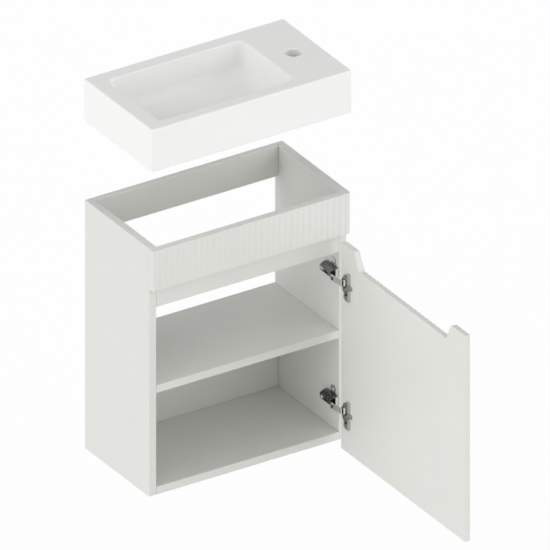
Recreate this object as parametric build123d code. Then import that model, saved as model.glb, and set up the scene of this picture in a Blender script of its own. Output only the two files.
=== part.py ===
from build123d import *
import math
import os

# Cloakroom vanity unit: a wall-hung cupboard with a ribbed door and fascia, and a basin that lifts off.
# Millimetres. X runs to the right, Y back to the wall, Z up. The rear plane of the carcass is Y = 0.
# The pieces are laid out from the underside of the carcass, and moved down at the end,
# so that the origin lies on the wall, at the middle of the back rail.

# Carcass boards
CARCASS_WIDTH = 400.0
CARCASS_HEIGHT = 485.0
CARCASS_DEPTH = 207.0
BOARD = 15.0
BACK_BOARD = 12.0
SHELF_TOP = 213.0
BACK_RAIL_HEIGHT = 60.0
FRONT_RAIL_HEIGHT = 100.0
FRONT_RAIL_DROP = 19.0
EDGE_ROUND = 1.5

# Ribbed fronts
RIB_PITCH = 12.12
RIB_RISE = 1.3
FASCIA_HEIGHT = 80.5
FRONT_GAP = 2.5
DOOR_THICKNESS = 12.0
DOOR_SETBACK = 1.5
DOOR_SIDE_GAP = 0.5

# Finger-pull cut-out in the door's top edge, measured from the hinge edge
CUTOUT_DEPTH = 32.0
CUTOUT_NEAR_TOP = 42.0
CUTOUT_NEAR_BOTTOM = 58.0
CUTOUT_FAR_BOTTOM = 338.0
CUTOUT_FAR_TOP = 353.0
CUTOUT_CORNER = 9.0

# Basin
BASIN_SIDE_OVERHANG = 2.5
BASIN_FRONT_OVERHANG = 0.5
BASIN_HEIGHT = 82.0
BASIN_LIFT = 155.5
BASIN_ROUND = 3.5
BASIN_FOOT_ROUND = 1.5
BOWL_DEPTH = 60.0
BOWL_LEFT_RIM = 29.8
BOWL_REAR_RIM = 27.4
BOWL_FRONT_RIM = 24.0
TAP_DECK = 101.0
BOWL_CORNER = 14.0
BOWL_DRAFT = 7.0
BOWL_FLOOR_ROUND = 12.0
BOWL_LIP_ROUND = 3.0
TAP_HOLE_DIAMETER = 28.0
TAP_HOLE_EDGE_ROUND = 1.5
TAP_FROM_RIGHT = 51.2
TAP_FROM_REAR = 113.0
DECK_THICKNESS = 15.0
DECK_WALL = 12.0
POCKET_CORNER = 8.0
WASTE_HOLE_DIAMETER = 45.0
WASTE_FROM_REAR = 125.0

# Dowels and cam fittings
DOWEL_DIAMETER = 8.0
DOWEL_LENGTH = 30.0
DOWEL_IN_SIDE = 11.0
DOWEL_CLEARANCE = 0.1
DOWEL_FROM_FRONT = 32.0
DOWEL_FROM_REAR = 40.0
RAIL_DOWEL_FROM_EDGE = 16.0
CAM_DIAMETER = 15.0
CAM_HEIGHT = 12.5
CAM_FROM_END = 24.0
CAM_FROM_DOWEL = 32.0
CAM_CLEARANCE = 0.1
CAM_WALL = 2.0
CAM_BOLT_DIAMETER = 6.0
CAM_BOLT_HEAD_DIAMETER = 7.0
CAM_BOLT_HEAD_LENGTH = 3.0
CAM_BOLT_IN_SIDE = 11.0

# Screws that hold the fascia from behind
FASCIA_SCREW_DIAMETER = 4.0
FASCIA_SCREW_LENGTH = 23.0
FASCIA_SCREW_HEAD_DIAMETER = 8.0
FASCIA_SCREW_HEAD_HEIGHT = 2.4
FASCIA_SCREW_FROM_END = 45.0
FASCIA_SCREW_ABOVE_RAIL = 60.0
SCREW_CLEARANCE = 0.1

# Concealed hinges, both alike. Where the door stands when open is measured from the right side board:
# its inner face lies inside the board's outer face, and its hinge edge ahead of the board's front edge.
HINGE_FROM_BOTTOM = 75.0
HINGE_FROM_TOP = 77.0
OPEN_INSET = 28.0
OPEN_AHEAD = 26.4
ARM_PIN_FROM_SIDE = 19.0
ARM_PIN_AHEAD = 7.8
CUP_PIN_DEPTH = 3.0
CUP_DIAMETER = 34.8
CUP_WALL = 0.5
CUP_FLOOR = 0.4
CUP_DEPTH = 9.4
CUP_FROM_EDGE = 20.5
CUP_CLEARANCE = 0.1
FLANGE_THICKNESS = 1.2
FLANGE_HEIGHT = 53.0
FLANGE_NEAR = 4.0
FLANGE_FAR = 30.3
HOUSING_RISE = 5.5
HOUSING_NEAR = 16.5
ARM_SLOT = 21.0
CUP_SCREW_SPACING = 44.0
CUP_SCREW_FROM_EDGE = 24.0
CUP_SCREW_DIAMETER = 3.5
CUP_SCREW_LENGTH = 9.0
CUP_SCREW_HEAD_DIAMETER = 6.6
CUP_SCREW_HEAD_HEIGHT = 1.6
CUP_EAR_THICKNESS = 1.6
CUP_EAR_WIDTH = 4.4
PIN_DIAMETER = 2.0
PIN_CLEARANCE = 0.05
LINK_THICKNESS = 1.6
LINK_HEIGHT = 12.0
LINK_EYE_RADIUS = 2.0
LINK_SIDE_PLAY = 0.2
LINK_CORNER = 0.8
LINK_CLEARANCE = 0.4
FORK_REACH = 4.0
NOTCH_DEPTH = 1.5
NOTCH_LENGTH = 3.0
TONGUE_HEIGHT = 7.6
TONGUE_ROOT = 5.6
ARM_LENGTH = 36.0
ARM_RISE = 16.0
ARM_SHEET = 1.4
ARM_HEIGHT = 19.6
ARM_BEHIND_FRONT = 4.0
PLATE_LENGTH = 35.0
PLATE_BEHIND_FRONT = 2.0
PLATE_RAIL_HEIGHT = 15.6
PLATE_RAIL_RISE = 6.0
WING_BEHIND_FRONT = 17.0
WING_WIDTH = 14.0
WING_HEIGHT = 48.0
WING_THICKNESS = 2.0
PLATE_SCREW_SPACING = 32.0
PLATE_SCREW_DIAMETER = 5.0
PLATE_SCREW_LENGTH = 11.0
PLATE_SCREW_HEAD_DIAMETER = 9.0
PLATE_SCREW_HEAD_HEIGHT = 2.0
ARM_SCREW_DIAMETER = 4.0
ARM_SCREW_HEAD_DIAMETER = 7.0
ARM_SCREW_HEAD_HEIGHT = 1.6
ARM_SCREW_LENGTH = 12.0
FIXING_SCREW_BEHIND_FRONT = 31.0
ADJUSTING_SCREW_BEHIND_FRONT = 17.0

# Sizes that follow from those above
HALF_WIDTH = CARCASS_WIDTH / 2
INNER_HALF = HALF_WIDTH - BOARD
ORIGIN_HEIGHT = CARCASS_HEIGHT - BACK_RAIL_HEIGHT / 2
SHELF_BOTTOM = SHELF_TOP - BOARD
DOOR_WIDTH = CARCASS_WIDTH - 2 * DOOR_SIDE_GAP
DOOR_HEIGHT = CARCASS_HEIGHT - FASCIA_HEIGHT - FRONT_GAP
DOOR_EDGE_X = HALF_WIDTH - DOOR_SIDE_GAP
DOOR_BACK_Y = -(CARCASS_DEPTH + DOOR_SETBACK)
FASCIA_THICKNESS = DOOR_THICKNESS + DOOR_SETBACK
FRONT_RAIL_TOP = CARCASS_HEIGHT - FRONT_RAIL_DROP
BASIN_WIDTH = CARCASS_WIDTH + 2 * BASIN_SIDE_OVERHANG
BASIN_DEPTH = CARCASS_DEPTH + FASCIA_THICKNESS + BASIN_FRONT_OVERHANG
BASIN_FLOOR = CARCASS_HEIGHT + BASIN_LIFT
HINGE_LOW = HINGE_FROM_BOTTOM
HINGE_HIGH = DOOR_HEIGHT - HINGE_FROM_TOP
OPEN_INNER_FACE = HALF_WIDTH - OPEN_INSET
OPEN_HINGE_EDGE = CARCASS_DEPTH + OPEN_AHEAD
ARM_PIN = (INNER_HALF - ARM_PIN_FROM_SIDE, -(CARCASS_DEPTH + ARM_PIN_AHEAD))
ARM_FACE = INNER_HALF - ARM_RISE
ARM_CHANNEL_FRONT = CARCASS_DEPTH - ARM_BEHIND_FRONT
ARM_REAR = ARM_CHANNEL_FRONT - ARM_LENGTH
PLATE_FRONT = CARCASS_DEPTH - PLATE_BEHIND_FRONT
PLATE_REAR = PLATE_FRONT - PLATE_LENGTH
WING_FORWARD = CARCASS_DEPTH - WING_BEHIND_FRONT
ARM_SCREWS_FORWARD = (
    CARCASS_DEPTH - FIXING_SCREW_BEHIND_FRONT,
    CARCASS_DEPTH - ADJUSTING_SCREW_BEHIND_FRONT,
)


def block(x_range, y_range, z_range):
    """A box between two values on each axis."""
    spans = [high - low for low, high in (x_range, y_range, z_range)]
    middle = [(low + high) / 2 for low, high in (x_range, y_range, z_range)]
    return Pos(*middle) * Box(*spans)


def board(x_range, y_range, z_range):
    """A board with all its edges eased."""
    solid = block(x_range, y_range, z_range)
    return fillet(solid.edges(), EDGE_ROUND)


def rod(start, direction, diameter, length):
    """A round bar that starts at a point and runs along a direction."""
    return Plane(origin=start, z_dir=direction) * Cylinder(
        diameter / 2, length, align=(Align.CENTER, Align.CENTER, Align.MIN)
    )


def upright(x, y, z_range, diameter):
    """A round bar that stands between two heights."""
    return rod((x, y, z_range[0]), (0, 0, 1), diameter, z_range[1] - z_range[0])


def group(solids):
    """Separate solids kept together as one piece of the list."""
    return Compound(children=list(solids))


def cut(solid, tools):
    """A solid with every tool taken out of it."""
    for tool in tools:
        solid = solid - tool
    return solid


# Where the door's turning centre lies, between its closed and its open place
def net_centre():
    """The point about which one quarter turn takes the closed door to its open place."""
    closed_x, closed_y = DOOR_EDGE_X, DOOR_BACK_Y
    open_x, open_y = OPEN_INNER_FACE, -OPEN_HINGE_EDGE
    total = closed_x + open_x
    difference = closed_y + open_y
    x = (total + closed_y - open_y) / 2
    y = (difference + open_x - closed_x) / 2
    return x, y


def cup_pin_closed():
    """The cup pin with the door closed: as far from the arm pin as with the door open."""
    centre_x, centre_y = net_centre()
    arm_x = ARM_PIN[0] - centre_x
    arm_y = ARM_PIN[1] - centre_y
    rise = DOOR_BACK_Y - CUP_PIN_DEPTH - centre_y
    reach = -rise * (arm_x + arm_y) / (arm_x - arm_y)
    return centre_x + reach, centre_y + rise


def turned_open(x, y):
    """A point of the closed door, once the door stands open."""
    centre_x, centre_y = net_centre()
    return centre_x - (y - centre_y), centre_y + (x - centre_x)


def opened(solid):
    """A piece of the closed door, once the door stands open."""
    centre_x, centre_y = net_centre()
    return Pos(centre_x, centre_y, 0) * Rot(0, 0, 90) * Pos(-centre_x, -centre_y, 0) * solid


CUP_PIN_CLOSED = cup_pin_closed()
CUP_PIN = turned_open(*CUP_PIN_CLOSED)


# Carcass
def dowel_places():
    """Each dowel's place on the inner face of a side: Y and Z, the same on both sides."""
    front = -(CARCASS_DEPTH - DOWEL_FROM_FRONT)
    rear = -DOWEL_FROM_REAR
    places = [(y, z) for z in (BOARD / 2, SHELF_TOP - BOARD / 2) for y in (front, rear)]
    back_y = -BACK_BOARD / 2
    rail_y = -(CARCASS_DEPTH - BOARD / 2)
    back_rail_bottom = CARCASS_HEIGHT - BACK_RAIL_HEIGHT
    spans = [
        (back_y, back_rail_bottom, CARCASS_HEIGHT),
        (back_y, BOARD, SHELF_BOTTOM),
        (rail_y, FRONT_RAIL_TOP - FRONT_RAIL_HEIGHT, FRONT_RAIL_TOP),
    ]
    for y, bottom, top in spans:
        places.append((y, bottom + RAIL_DOWEL_FROM_EDGE))
        places.append((y, top - RAIL_DOWEL_FROM_EDGE))
    return places


def dowels(extra_diameter, extra_length):
    """Every dowel, or with the extras every hole for one."""
    bars = []
    length = DOWEL_LENGTH + extra_length
    for side in (-1, 1):
        outer = INNER_HALF + DOWEL_IN_SIDE + extra_length / 2
        for y, z in dowel_places():
            bars.append(rod((side * outer, y, z), (-side, 0, 0), DOWEL_DIAMETER + extra_diameter, length))
    return bars


def cam_places():
    """Each cam fitting: which side it is on, its Y, and the underside of its board."""
    front = -(CARCASS_DEPTH - DOWEL_FROM_FRONT - CAM_FROM_DOWEL)
    rear = -(DOWEL_FROM_REAR + CAM_FROM_DOWEL)
    return [(side, y, z) for side in (-1, 1) for y in (front, rear) for z in (0.0, SHELF_BOTTOM)]


def cam_bolt(side, y, board_bottom, extra):
    """A bolt from the side board into its cam, with a head inside the cam."""
    z = board_bottom + BOARD / 2
    shank_end = INNER_HALF + CAM_BOLT_IN_SIDE + extra / 2
    cam_x = INNER_HALF - CAM_FROM_END
    shank = rod((side * shank_end, y, z), (-side, 0, 0), CAM_BOLT_DIAMETER + extra, shank_end - cam_x)
    head_start = cam_x + CAM_BOLT_HEAD_LENGTH / 2 + extra / 2
    head_length = CAM_BOLT_HEAD_LENGTH + extra
    head = rod((side * head_start, y, z), (-side, 0, 0), CAM_BOLT_HEAD_DIAMETER + extra, head_length)
    return shank + head


def cam_hole(side, y, board_bottom):
    """The round pocket for a cam, open at the underside of its board."""
    x = side * (INNER_HALF - CAM_FROM_END)
    heights = (board_bottom - CAM_CLEARANCE, board_bottom + CAM_HEIGHT + CAM_CLEARANCE)
    return upright(x, y, heights, CAM_DIAMETER + CAM_CLEARANCE * 2)


def cam_lock(side, y, board_bottom):
    """A cam with a slot for its bolt and a cross in its underside."""
    x = side * (INNER_HALF - CAM_FROM_END)
    body = upright(x, y, (board_bottom, board_bottom + CAM_HEIGHT), CAM_DIAMETER)
    z = board_bottom + BOARD / 2
    slot_half = CAM_BOLT_HEAD_DIAMETER / 2 + CAM_CLEARANCE
    slot_x = sorted((x - side * (CAM_DIAMETER / 2 - CAM_WALL), x + side * CAM_DIAMETER))
    slot = block(slot_x, (y - slot_half, y + slot_half), (z - slot_half, z + slot_half))
    return body - slot


DOWEL_HOLES = dowels(2 * DOWEL_CLEARANCE, 2 * DOWEL_CLEARANCE)
CAM_BOLT_HOLES = [cam_bolt(*place, 2 * CAM_CLEARANCE) for place in cam_places()]
CAM_HOLES = [cam_hole(*place) for place in cam_places()]


def on_side(tools, side):
    """The tools that lie on one side of the unit."""
    return [tool for tool in tools if tool.center().X * side > 0]


def meeting(tools, low, high):
    """The tools whose middles lie between two heights."""
    return [tool for tool in tools if low < tool.center().Z < high]


def plate_screw_places():
    """The height of each screw that holds a hinge's mounting plate."""
    half = PLATE_SCREW_SPACING / 2
    return [middle + side * half for middle in (HINGE_LOW, HINGE_HIGH) for side in (-1, 1)]


def side_panel(side):
    """A side board with its holes for dowels, bolts and, on the right, hinge screws."""
    x_range = sorted((side * INNER_HALF, side * HALF_WIDTH))
    panel = board(x_range, (-CARCASS_DEPTH, 0), (0, CARCASS_HEIGHT))
    panel = cut(panel, on_side(DOWEL_HOLES, side) + on_side(CAM_BOLT_HOLES, side))
    if side > 0:
        depth = PLATE_SCREW_LENGTH + SCREW_CLEARANCE
        diameter = PLATE_SCREW_DIAMETER + 2 * SCREW_CLEARANCE
        for z in plate_screw_places():
            panel -= rod((INNER_HALF, -WING_FORWARD, z), (1, 0, 0), diameter, depth)
    return panel


def level_board(bottom):
    """The bottom board or the shelf: both run the whole depth between the sides."""
    top = bottom + BOARD
    panel = board((-INNER_HALF, INNER_HALF), (-CARCASS_DEPTH, 0), (bottom, top))
    tools = meeting(DOWEL_HOLES, bottom, top) + meeting(CAM_BOLT_HOLES, bottom, top)
    return cut(panel, tools + meeting(CAM_HOLES, bottom, top))


def upright_board(y_range, z_range):
    """A board on edge between the sides, with its dowel holes."""
    panel = board((-INNER_HALF, INNER_HALF), y_range, z_range)
    tools = meeting(DOWEL_HOLES, *z_range)
    return cut(panel, [tool for tool in tools if y_range[0] < tool.center().Y < y_range[1]])


def fascia_screw_places():
    """X of each fascia screw."""
    x = INNER_HALF - FASCIA_SCREW_FROM_END
    return (-x, -x / 3, x / 3, x)


def fascia_screw(x, extra):
    """A countersunk screw driven forward from behind the front rail."""
    rail_back = -(CARCASS_DEPTH - BOARD)
    z = FRONT_RAIL_TOP - FRONT_RAIL_HEIGHT + FASCIA_SCREW_ABOVE_RAIL
    shank = rod((x, rail_back, z), (0, -1, 0), FASCIA_SCREW_DIAMETER + extra, FASCIA_SCREW_LENGTH + extra)
    head = Plane(origin=(x, rail_back, z), z_dir=(0, -1, 0)) * Cone(
        (FASCIA_SCREW_HEAD_DIAMETER + extra) / 2,
        (FASCIA_SCREW_DIAMETER + extra) / 2,
        FASCIA_SCREW_HEAD_HEIGHT,
        align=(Align.CENTER, Align.CENTER, Align.MIN),
    )
    return shank + head


FASCIA_SCREW_HOLES = [fascia_screw(x, 2 * SCREW_CLEARANCE) for x in fascia_screw_places()]


# Ribbed fronts
def ribbed_board(width, height, thickness):
    """A board with a flat back on Y = 0, and rounded upright ribs side by side on its front."""
    count = round(width / RIB_PITCH)
    pitch = width / count
    half = width / 2
    valley = -(thickness - RIB_RISE)
    edges = []
    for index in range(count):
        start = -half + index * pitch
        crest = (start + pitch / 2, -thickness)
        edges.append(ThreePointArc((start, valley), crest, (start + pitch, valley)))
    edges.append(Line((half, valley), (half, 0)))
    edges.append(Line((half, 0), (-half, 0)))
    edges.append(Line((-half, 0), (-half, valley)))
    return extrude(make_face(edges), amount=height, dir=(0, 0, 1))


def fascia():
    """The ribbed strip across the top of the front."""
    strip = ribbed_board(CARCASS_WIDTH, FASCIA_HEIGHT, FASCIA_THICKNESS)
    strip = Pos(0, -CARCASS_DEPTH, CARCASS_HEIGHT - FASCIA_HEIGHT) * strip
    return cut(strip, FASCIA_SCREW_HOLES)


def door_outline():
    """The door's outline seen from the front, with the finger-pull cut into its top edge."""
    half = DOOR_WIDTH / 2
    low = DOOR_HEIGHT - CUTOUT_DEPTH
    shape = [(-half, 0), (half, 0), (half, DOOR_HEIGHT)]
    for from_edge, z in (
        (CUTOUT_NEAR_TOP, DOOR_HEIGHT),
        (CUTOUT_NEAR_BOTTOM, low),
        (CUTOUT_FAR_BOTTOM, low),
        (CUTOUT_FAR_TOP, DOOR_HEIGHT),
    ):
        shape.append((half - from_edge, z))
    shape.append((-half, DOOR_HEIGHT))
    face = make_face(Polyline(*shape, close=True))
    inside = [corner for corner in face.vertices() if abs(corner.X) < half - CUTOUT_NEAR_TOP / 2]
    return fillet(inside, CUTOUT_CORNER)


def cup_places():
    """The middle of each hinge cup on the closed door: X and Z."""
    return [(DOOR_EDGE_X - CUP_FROM_EDGE, z) for z in (HINGE_LOW, HINGE_HIGH)]


def cup_screw_places(middle_z):
    """The two screws of a cup, on the closed door: X and Z."""
    x = DOOR_EDGE_X - CUP_SCREW_FROM_EDGE
    return [(x, middle_z + side * CUP_SCREW_SPACING / 2) for side in (-1, 1)]


def door_panel():
    """The closed door: ribbed in front, plain behind, bored for its two cups."""
    panel = ribbed_board(DOOR_WIDTH, DOOR_HEIGHT, DOOR_THICKNESS)
    prism = extrude(Plane.XZ * door_outline(), amount=DOOR_THICKNESS, dir=(0, -1, 0))
    panel = Pos(0, DOOR_BACK_Y, 0) * (panel & prism)
    tools = []
    for x, z in cup_places():
        diameter = CUP_DIAMETER + 2 * CUP_CLEARANCE
        tools.append(rod((x, DOOR_BACK_Y, z), (0, -1, 0), diameter, CUP_DEPTH + CUP_CLEARANCE))
        for screw_x, screw_z in cup_screw_places(z):
            depth = CUP_SCREW_LENGTH - FLANGE_THICKNESS + SCREW_CLEARANCE
            diameter = CUP_SCREW_DIAMETER + 2 * SCREW_CLEARANCE
            tools.append(rod((screw_x, DOOR_BACK_Y, screw_z), (0, -1, 0), diameter, depth))
    return opened(cut(panel, tools))


# Hinges
def flange_outline():
    """Half of a cup's flange: an arc towards the hinge edge and a straight far side."""
    half = FLANGE_HEIGHT / 2
    near = (-FLANGE_NEAR, 0)
    arc = ThreePointArc((-FLANGE_FAR, -half), near, (-FLANGE_FAR, half))
    return make_face([arc, Line((-FLANGE_FAR, half), (-FLANGE_FAR, -half))])


def hinge_cup(middle_z):
    """A cup with its flange, a raised housing either side of the arm, and ears for the pin."""
    x = DOOR_EDGE_X - CUP_FROM_EDGE
    face_at = Plane(origin=(DOOR_EDGE_X, DOOR_BACK_Y, middle_z), x_dir=(1, 0, 0), z_dir=(0, -1, 0))
    flange = extrude(face_at * flange_outline(), amount=FLANGE_THICKNESS, dir=(0, 1, 0))
    tall = extrude(face_at * flange_outline(), amount=HOUSING_RISE, dir=(0, 1, 0))
    reach = DOOR_EDGE_X - HOUSING_NEAR
    keep = block(
        (reach - FLANGE_FAR, reach),
        (DOOR_BACK_Y, DOOR_BACK_Y + HOUSING_RISE),
        (middle_z - FLANGE_HEIGHT / 2, middle_z + FLANGE_HEIGHT / 2),
    )
    housing = tall & keep
    top = (x, DOOR_BACK_Y + FLANGE_THICKNESS, middle_z)
    shell = rod(top, (0, -1, 0), CUP_DIAMETER, CUP_DEPTH + FLANGE_THICKNESS)
    solid = flange + housing + shell
    hollow_depth = HOUSING_RISE + CUP_DEPTH - CUP_FLOOR
    hollow_diameter = CUP_DIAMETER - 2 * CUP_WALL
    start = (x, DOOR_BACK_Y + HOUSING_RISE, middle_z)
    bowl = rod(start, (0, -1, 0), hollow_diameter, hollow_depth)
    above = block(
        (DOOR_EDGE_X - FLANGE_FAR - CUP_DIAMETER, DOOR_EDGE_X),
        (DOOR_BACK_Y + FLANGE_THICKNESS, DOOR_BACK_Y + HOUSING_RISE),
        (middle_z - ARM_SLOT / 2, middle_z + ARM_SLOT / 2),
    )
    rim_x = DOOR_EDGE_X - CUP_FROM_EDGE + CUP_DIAMETER / 2
    notch = block(
        (rim_x - NOTCH_LENGTH, rim_x),
        (DOOR_BACK_Y - NOTCH_DEPTH, DOOR_BACK_Y + FLANGE_THICKNESS),
        (middle_z - LINK_HEIGHT / 2 - LINK_CLEARANCE, middle_z + LINK_HEIGHT / 2 + LINK_CLEARANCE),
    )
    solid = solid - bowl - above - notch
    floor_y = DOOR_BACK_Y - CUP_DEPTH + CUP_FLOOR
    pin_x, pin_y = CUP_PIN_CLOSED
    ear_start = LINK_HEIGHT / 2 + LINK_SIDE_PLAY
    hole = upright(pin_x, pin_y, (middle_z - FLANGE_HEIGHT, middle_z + FLANGE_HEIGHT), PIN_DIAMETER)
    for side in (-1, 1):
        z_range = sorted((middle_z + side * ear_start, middle_z + side * (ear_start + CUP_EAR_THICKNESS)))
        ear = block(
            (pin_x - CUP_EAR_WIDTH / 2, pin_x + CUP_EAR_WIDTH / 2),
            (floor_y - CUP_FLOOR / 2, pin_y),
            z_range,
        )
        ear += upright(pin_x, pin_y, z_range, CUP_EAR_WIDTH)
        inside = rod(start, (0, -1, 0), hollow_diameter + CUP_WALL, hollow_depth + CUP_FLOOR / 2)
        solid += (ear & inside) - hole
    for screw_x, screw_z in cup_screw_places(middle_z):
        diameter = CUP_SCREW_DIAMETER + 2 * SCREW_CLEARANCE
        solid -= rod((screw_x, DOOR_BACK_Y + HOUSING_RISE, screw_z), (0, -1, 0), diameter, HOUSING_RISE)
        wide = CUP_SCREW_HEAD_DIAMETER + 2 * SCREW_CLEARANCE
        sink = HOUSING_RISE - FLANGE_THICKNESS
        solid -= rod((screw_x, DOOR_BACK_Y + HOUSING_RISE, screw_z), (0, -1, 0), wide, sink)
    return opened(solid)


def cup_screws():
    """The screws that hold both cups to the door."""
    screws = []
    for middle in (HINGE_LOW, HINGE_HIGH):
        for x, z in cup_screw_places(middle):
            seat = (x, DOOR_BACK_Y + FLANGE_THICKNESS, z)
            shank = rod(seat, (0, -1, 0), CUP_SCREW_DIAMETER, CUP_SCREW_LENGTH)
            head = rod(seat, (0, 1, 0), CUP_SCREW_HEAD_DIAMETER, CUP_SCREW_HEAD_HEIGHT)
            screws.append(opened(shank + head))
    return group(screws)


def cup_pins():
    """The pins that stay in the cups' ears."""
    half = LINK_HEIGHT / 2 + LINK_SIDE_PLAY + CUP_EAR_THICKNESS
    return group(
        upright(*CUP_PIN, (middle - half, middle + half), PIN_DIAMETER) for middle in (HINGE_LOW, HINGE_HIGH)
    )


def arm_pins():
    """The pins that stay in the arms' tongues."""
    half = LINK_HEIGHT / 2
    return group(
        upright(*ARM_PIN, (middle - half, middle + half), PIN_DIAMETER) for middle in (HINGE_LOW, HINGE_HIGH)
    )


def link_path():
    """The middle line of a link: from the arm pin to just over the cup's rim, then in to the cup pin."""
    half_height = LINK_HEIGHT / 2
    cup_radius = CUP_DIAMETER / 2 - CUP_WALL
    cup_middle = OPEN_HINGE_EDGE + CUP_FROM_EDGE
    rim = cup_middle - math.sqrt(cup_radius**2 - half_height**2)
    stand_off = LINK_THICKNESS / 2 + LINK_CLEARANCE
    bend = (OPEN_INNER_FACE - FLANGE_THICKNESS - stand_off, -(rim + stand_off))
    return ARM_PIN, bend, CUP_PIN


def beside(start, end, offset):
    """The two ends of a straight run, moved sideways by an offset."""
    length = math.hypot(end[0] - start[0], end[1] - start[1])
    step = ((end[1] - start[1]) / length * offset, (start[0] - end[0]) / length * offset)
    return [(x + step[0], y + step[1]) for x, y in (start, end)]


def crossing(first, second):
    """Where two straight runs, made longer, would meet."""
    (ax, ay), (bx, by) = first
    (cx, cy), (dx, dy) = second
    across = (bx - ax) * (dy - cy) - (by - ay) * (dx - cx)
    share = ((cx - ax) * (dy - cy) - (cy - ay) * (dx - cx)) / across
    return ax + share * (bx - ax), ay + share * (by - ay)


def link_outline():
    """A link's outline from above: a thin strip with one rounded bend."""
    arm, bend, cup = link_path()
    corners = []
    for side in (-1, 1):
        first = beside(arm, bend, side * LINK_THICKNESS / 2)
        second = beside(bend, cup, side * LINK_THICKNESS / 2)
        line = [first[0], crossing(first, second), second[1]]
        corners.append(line if side < 0 else line[::-1])
    face = make_face(Polyline(*corners[0], *corners[1], close=True))
    near = [v for v in face.vertices() if math.hypot(v.X - bend[0], v.Y - bend[1]) < LINK_THICKNESS]
    return fillet(near, LINK_CORNER)


def hinge_link(middle_z):
    """The bent link between the arm pin and the cup pin, forked round the arm's tongue."""
    low = middle_z - LINK_HEIGHT / 2
    high = middle_z + LINK_HEIGHT / 2
    solid = Pos(0, 0, low) * extrude(link_outline(), amount=LINK_HEIGHT, dir=(0, 0, 1))
    for pin in (ARM_PIN, CUP_PIN):
        solid += upright(*pin, (low, high), 2 * LINK_EYE_RADIUS)
    bore = PIN_DIAMETER + 2 * PIN_CLEARANCE
    for pin in (ARM_PIN, CUP_PIN):
        solid -= upright(*pin, (low, high), bore)
    fork_half = TONGUE_HEIGHT / 2 + LINK_SIDE_PLAY
    fork = block(
        (ARM_PIN[0] - 2 * FORK_REACH, ARM_PIN[0] + 2 * FORK_REACH),
        (ARM_PIN[1] - FORK_REACH, ARM_PIN[1] + FORK_REACH),
        (middle_z - fork_half, middle_z + fork_half),
    )
    return solid - fork


def mounting_plate(middle_z):
    """The plate on the side board: a rail under the arm, and two wings for its screws."""
    rail = block(
        (INNER_HALF - PLATE_RAIL_RISE, INNER_HALF),
        (-PLATE_FRONT, -PLATE_REAR),
        (middle_z - PLATE_RAIL_HEIGHT / 2, middle_z + PLATE_RAIL_HEIGHT / 2),
    )
    wings = block(
        (INNER_HALF - WING_THICKNESS, INNER_HALF),
        (-WING_FORWARD - WING_WIDTH / 2, -WING_FORWARD + WING_WIDTH / 2),
        (middle_z - WING_HEIGHT / 2, middle_z + WING_HEIGHT / 2),
    )
    wings = fillet(wings.edges().filter_by(Axis.X), WING_WIDTH / 3)
    plate = rail + wings
    for side in (-1, 1):
        z = middle_z + side * PLATE_SCREW_SPACING / 2
        start = (INNER_HALF - WING_THICKNESS, -WING_FORWARD, z)
        plate -= rod(start, (1, 0, 0), PLATE_SCREW_DIAMETER + 2 * SCREW_CLEARANCE, WING_THICKNESS)
    for forward in ARM_SCREWS_FORWARD:
        start = (INNER_HALF - PLATE_RAIL_RISE, -forward, middle_z)
        plate -= rod(start, (1, 0, 0), ARM_SCREW_DIAMETER + 2 * SCREW_CLEARANCE, PLATE_RAIL_RISE)
    return plate


def plate_screws():
    """The screws that hold both mounting plates to the right side board."""
    screws = []
    for z in plate_screw_places():
        seat = (INNER_HALF - WING_THICKNESS, -WING_FORWARD, z)
        shank = rod(seat, (1, 0, 0), PLATE_SCREW_DIAMETER, WING_THICKNESS + PLATE_SCREW_LENGTH)
        head = rod(seat, (-1, 0, 0), PLATE_SCREW_HEAD_DIAMETER, PLATE_SCREW_HEAD_HEIGHT)
        screws.append(shank + head)
    return group(screws)


def hinge_arm(middle_z):
    """The channel that sits over the mounting plate, with a tongue forward to its pin."""
    half = ARM_HEIGHT / 2
    outer = block(
        (ARM_FACE, INNER_HALF - WING_THICKNESS),
        (-ARM_CHANNEL_FRONT, -ARM_REAR),
        (middle_z - half, middle_z + half),
    )
    inner_half = half - ARM_SHEET
    inner = block(
        (ARM_FACE + ARM_SHEET, INNER_HALF),
        (-ARM_CHANNEL_FRONT, -ARM_REAR - ARM_SHEET),
        (middle_z - inner_half, middle_z + inner_half),
    )
    channel = outer - inner
    wing_gap = block(
        (INNER_HALF - WING_THICKNESS - PLATE_SCREW_HEAD_HEIGHT, INNER_HALF),
        (-WING_FORWARD - WING_WIDTH / 2, -WING_FORWARD + WING_WIDTH / 2),
        (middle_z - half, middle_z + half),
    )
    channel -= wing_gap
    tongue_face = make_face(
        Polyline(
            (ARM_FACE, -ARM_CHANNEL_FRONT),
            (ARM_PIN[0] - LINK_EYE_RADIUS, ARM_PIN[1]),
            (ARM_PIN[0] + LINK_EYE_RADIUS, ARM_PIN[1]),
            (ARM_FACE + TONGUE_ROOT, -ARM_CHANNEL_FRONT),
            (ARM_FACE + TONGUE_ROOT, -ARM_CHANNEL_FRONT + TONGUE_ROOT),
            (ARM_FACE, -ARM_CHANNEL_FRONT + TONGUE_ROOT),
            close=True,
        )
    )
    low = middle_z - TONGUE_HEIGHT / 2
    tongue = Pos(0, 0, low) * extrude(tongue_face, amount=TONGUE_HEIGHT, dir=(0, 0, 1))
    tongue += upright(*ARM_PIN, (low, low + TONGUE_HEIGHT), 2 * LINK_EYE_RADIUS)
    solid = channel + tongue
    solid -= upright(*ARM_PIN, (low, low + TONGUE_HEIGHT), PIN_DIAMETER)
    for forward in ARM_SCREWS_FORWARD:
        start = (ARM_FACE, -forward, middle_z)
        solid -= rod(start, (1, 0, 0), ARM_SCREW_DIAMETER + 2 * SCREW_CLEARANCE, ARM_SHEET)
    return solid


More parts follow.
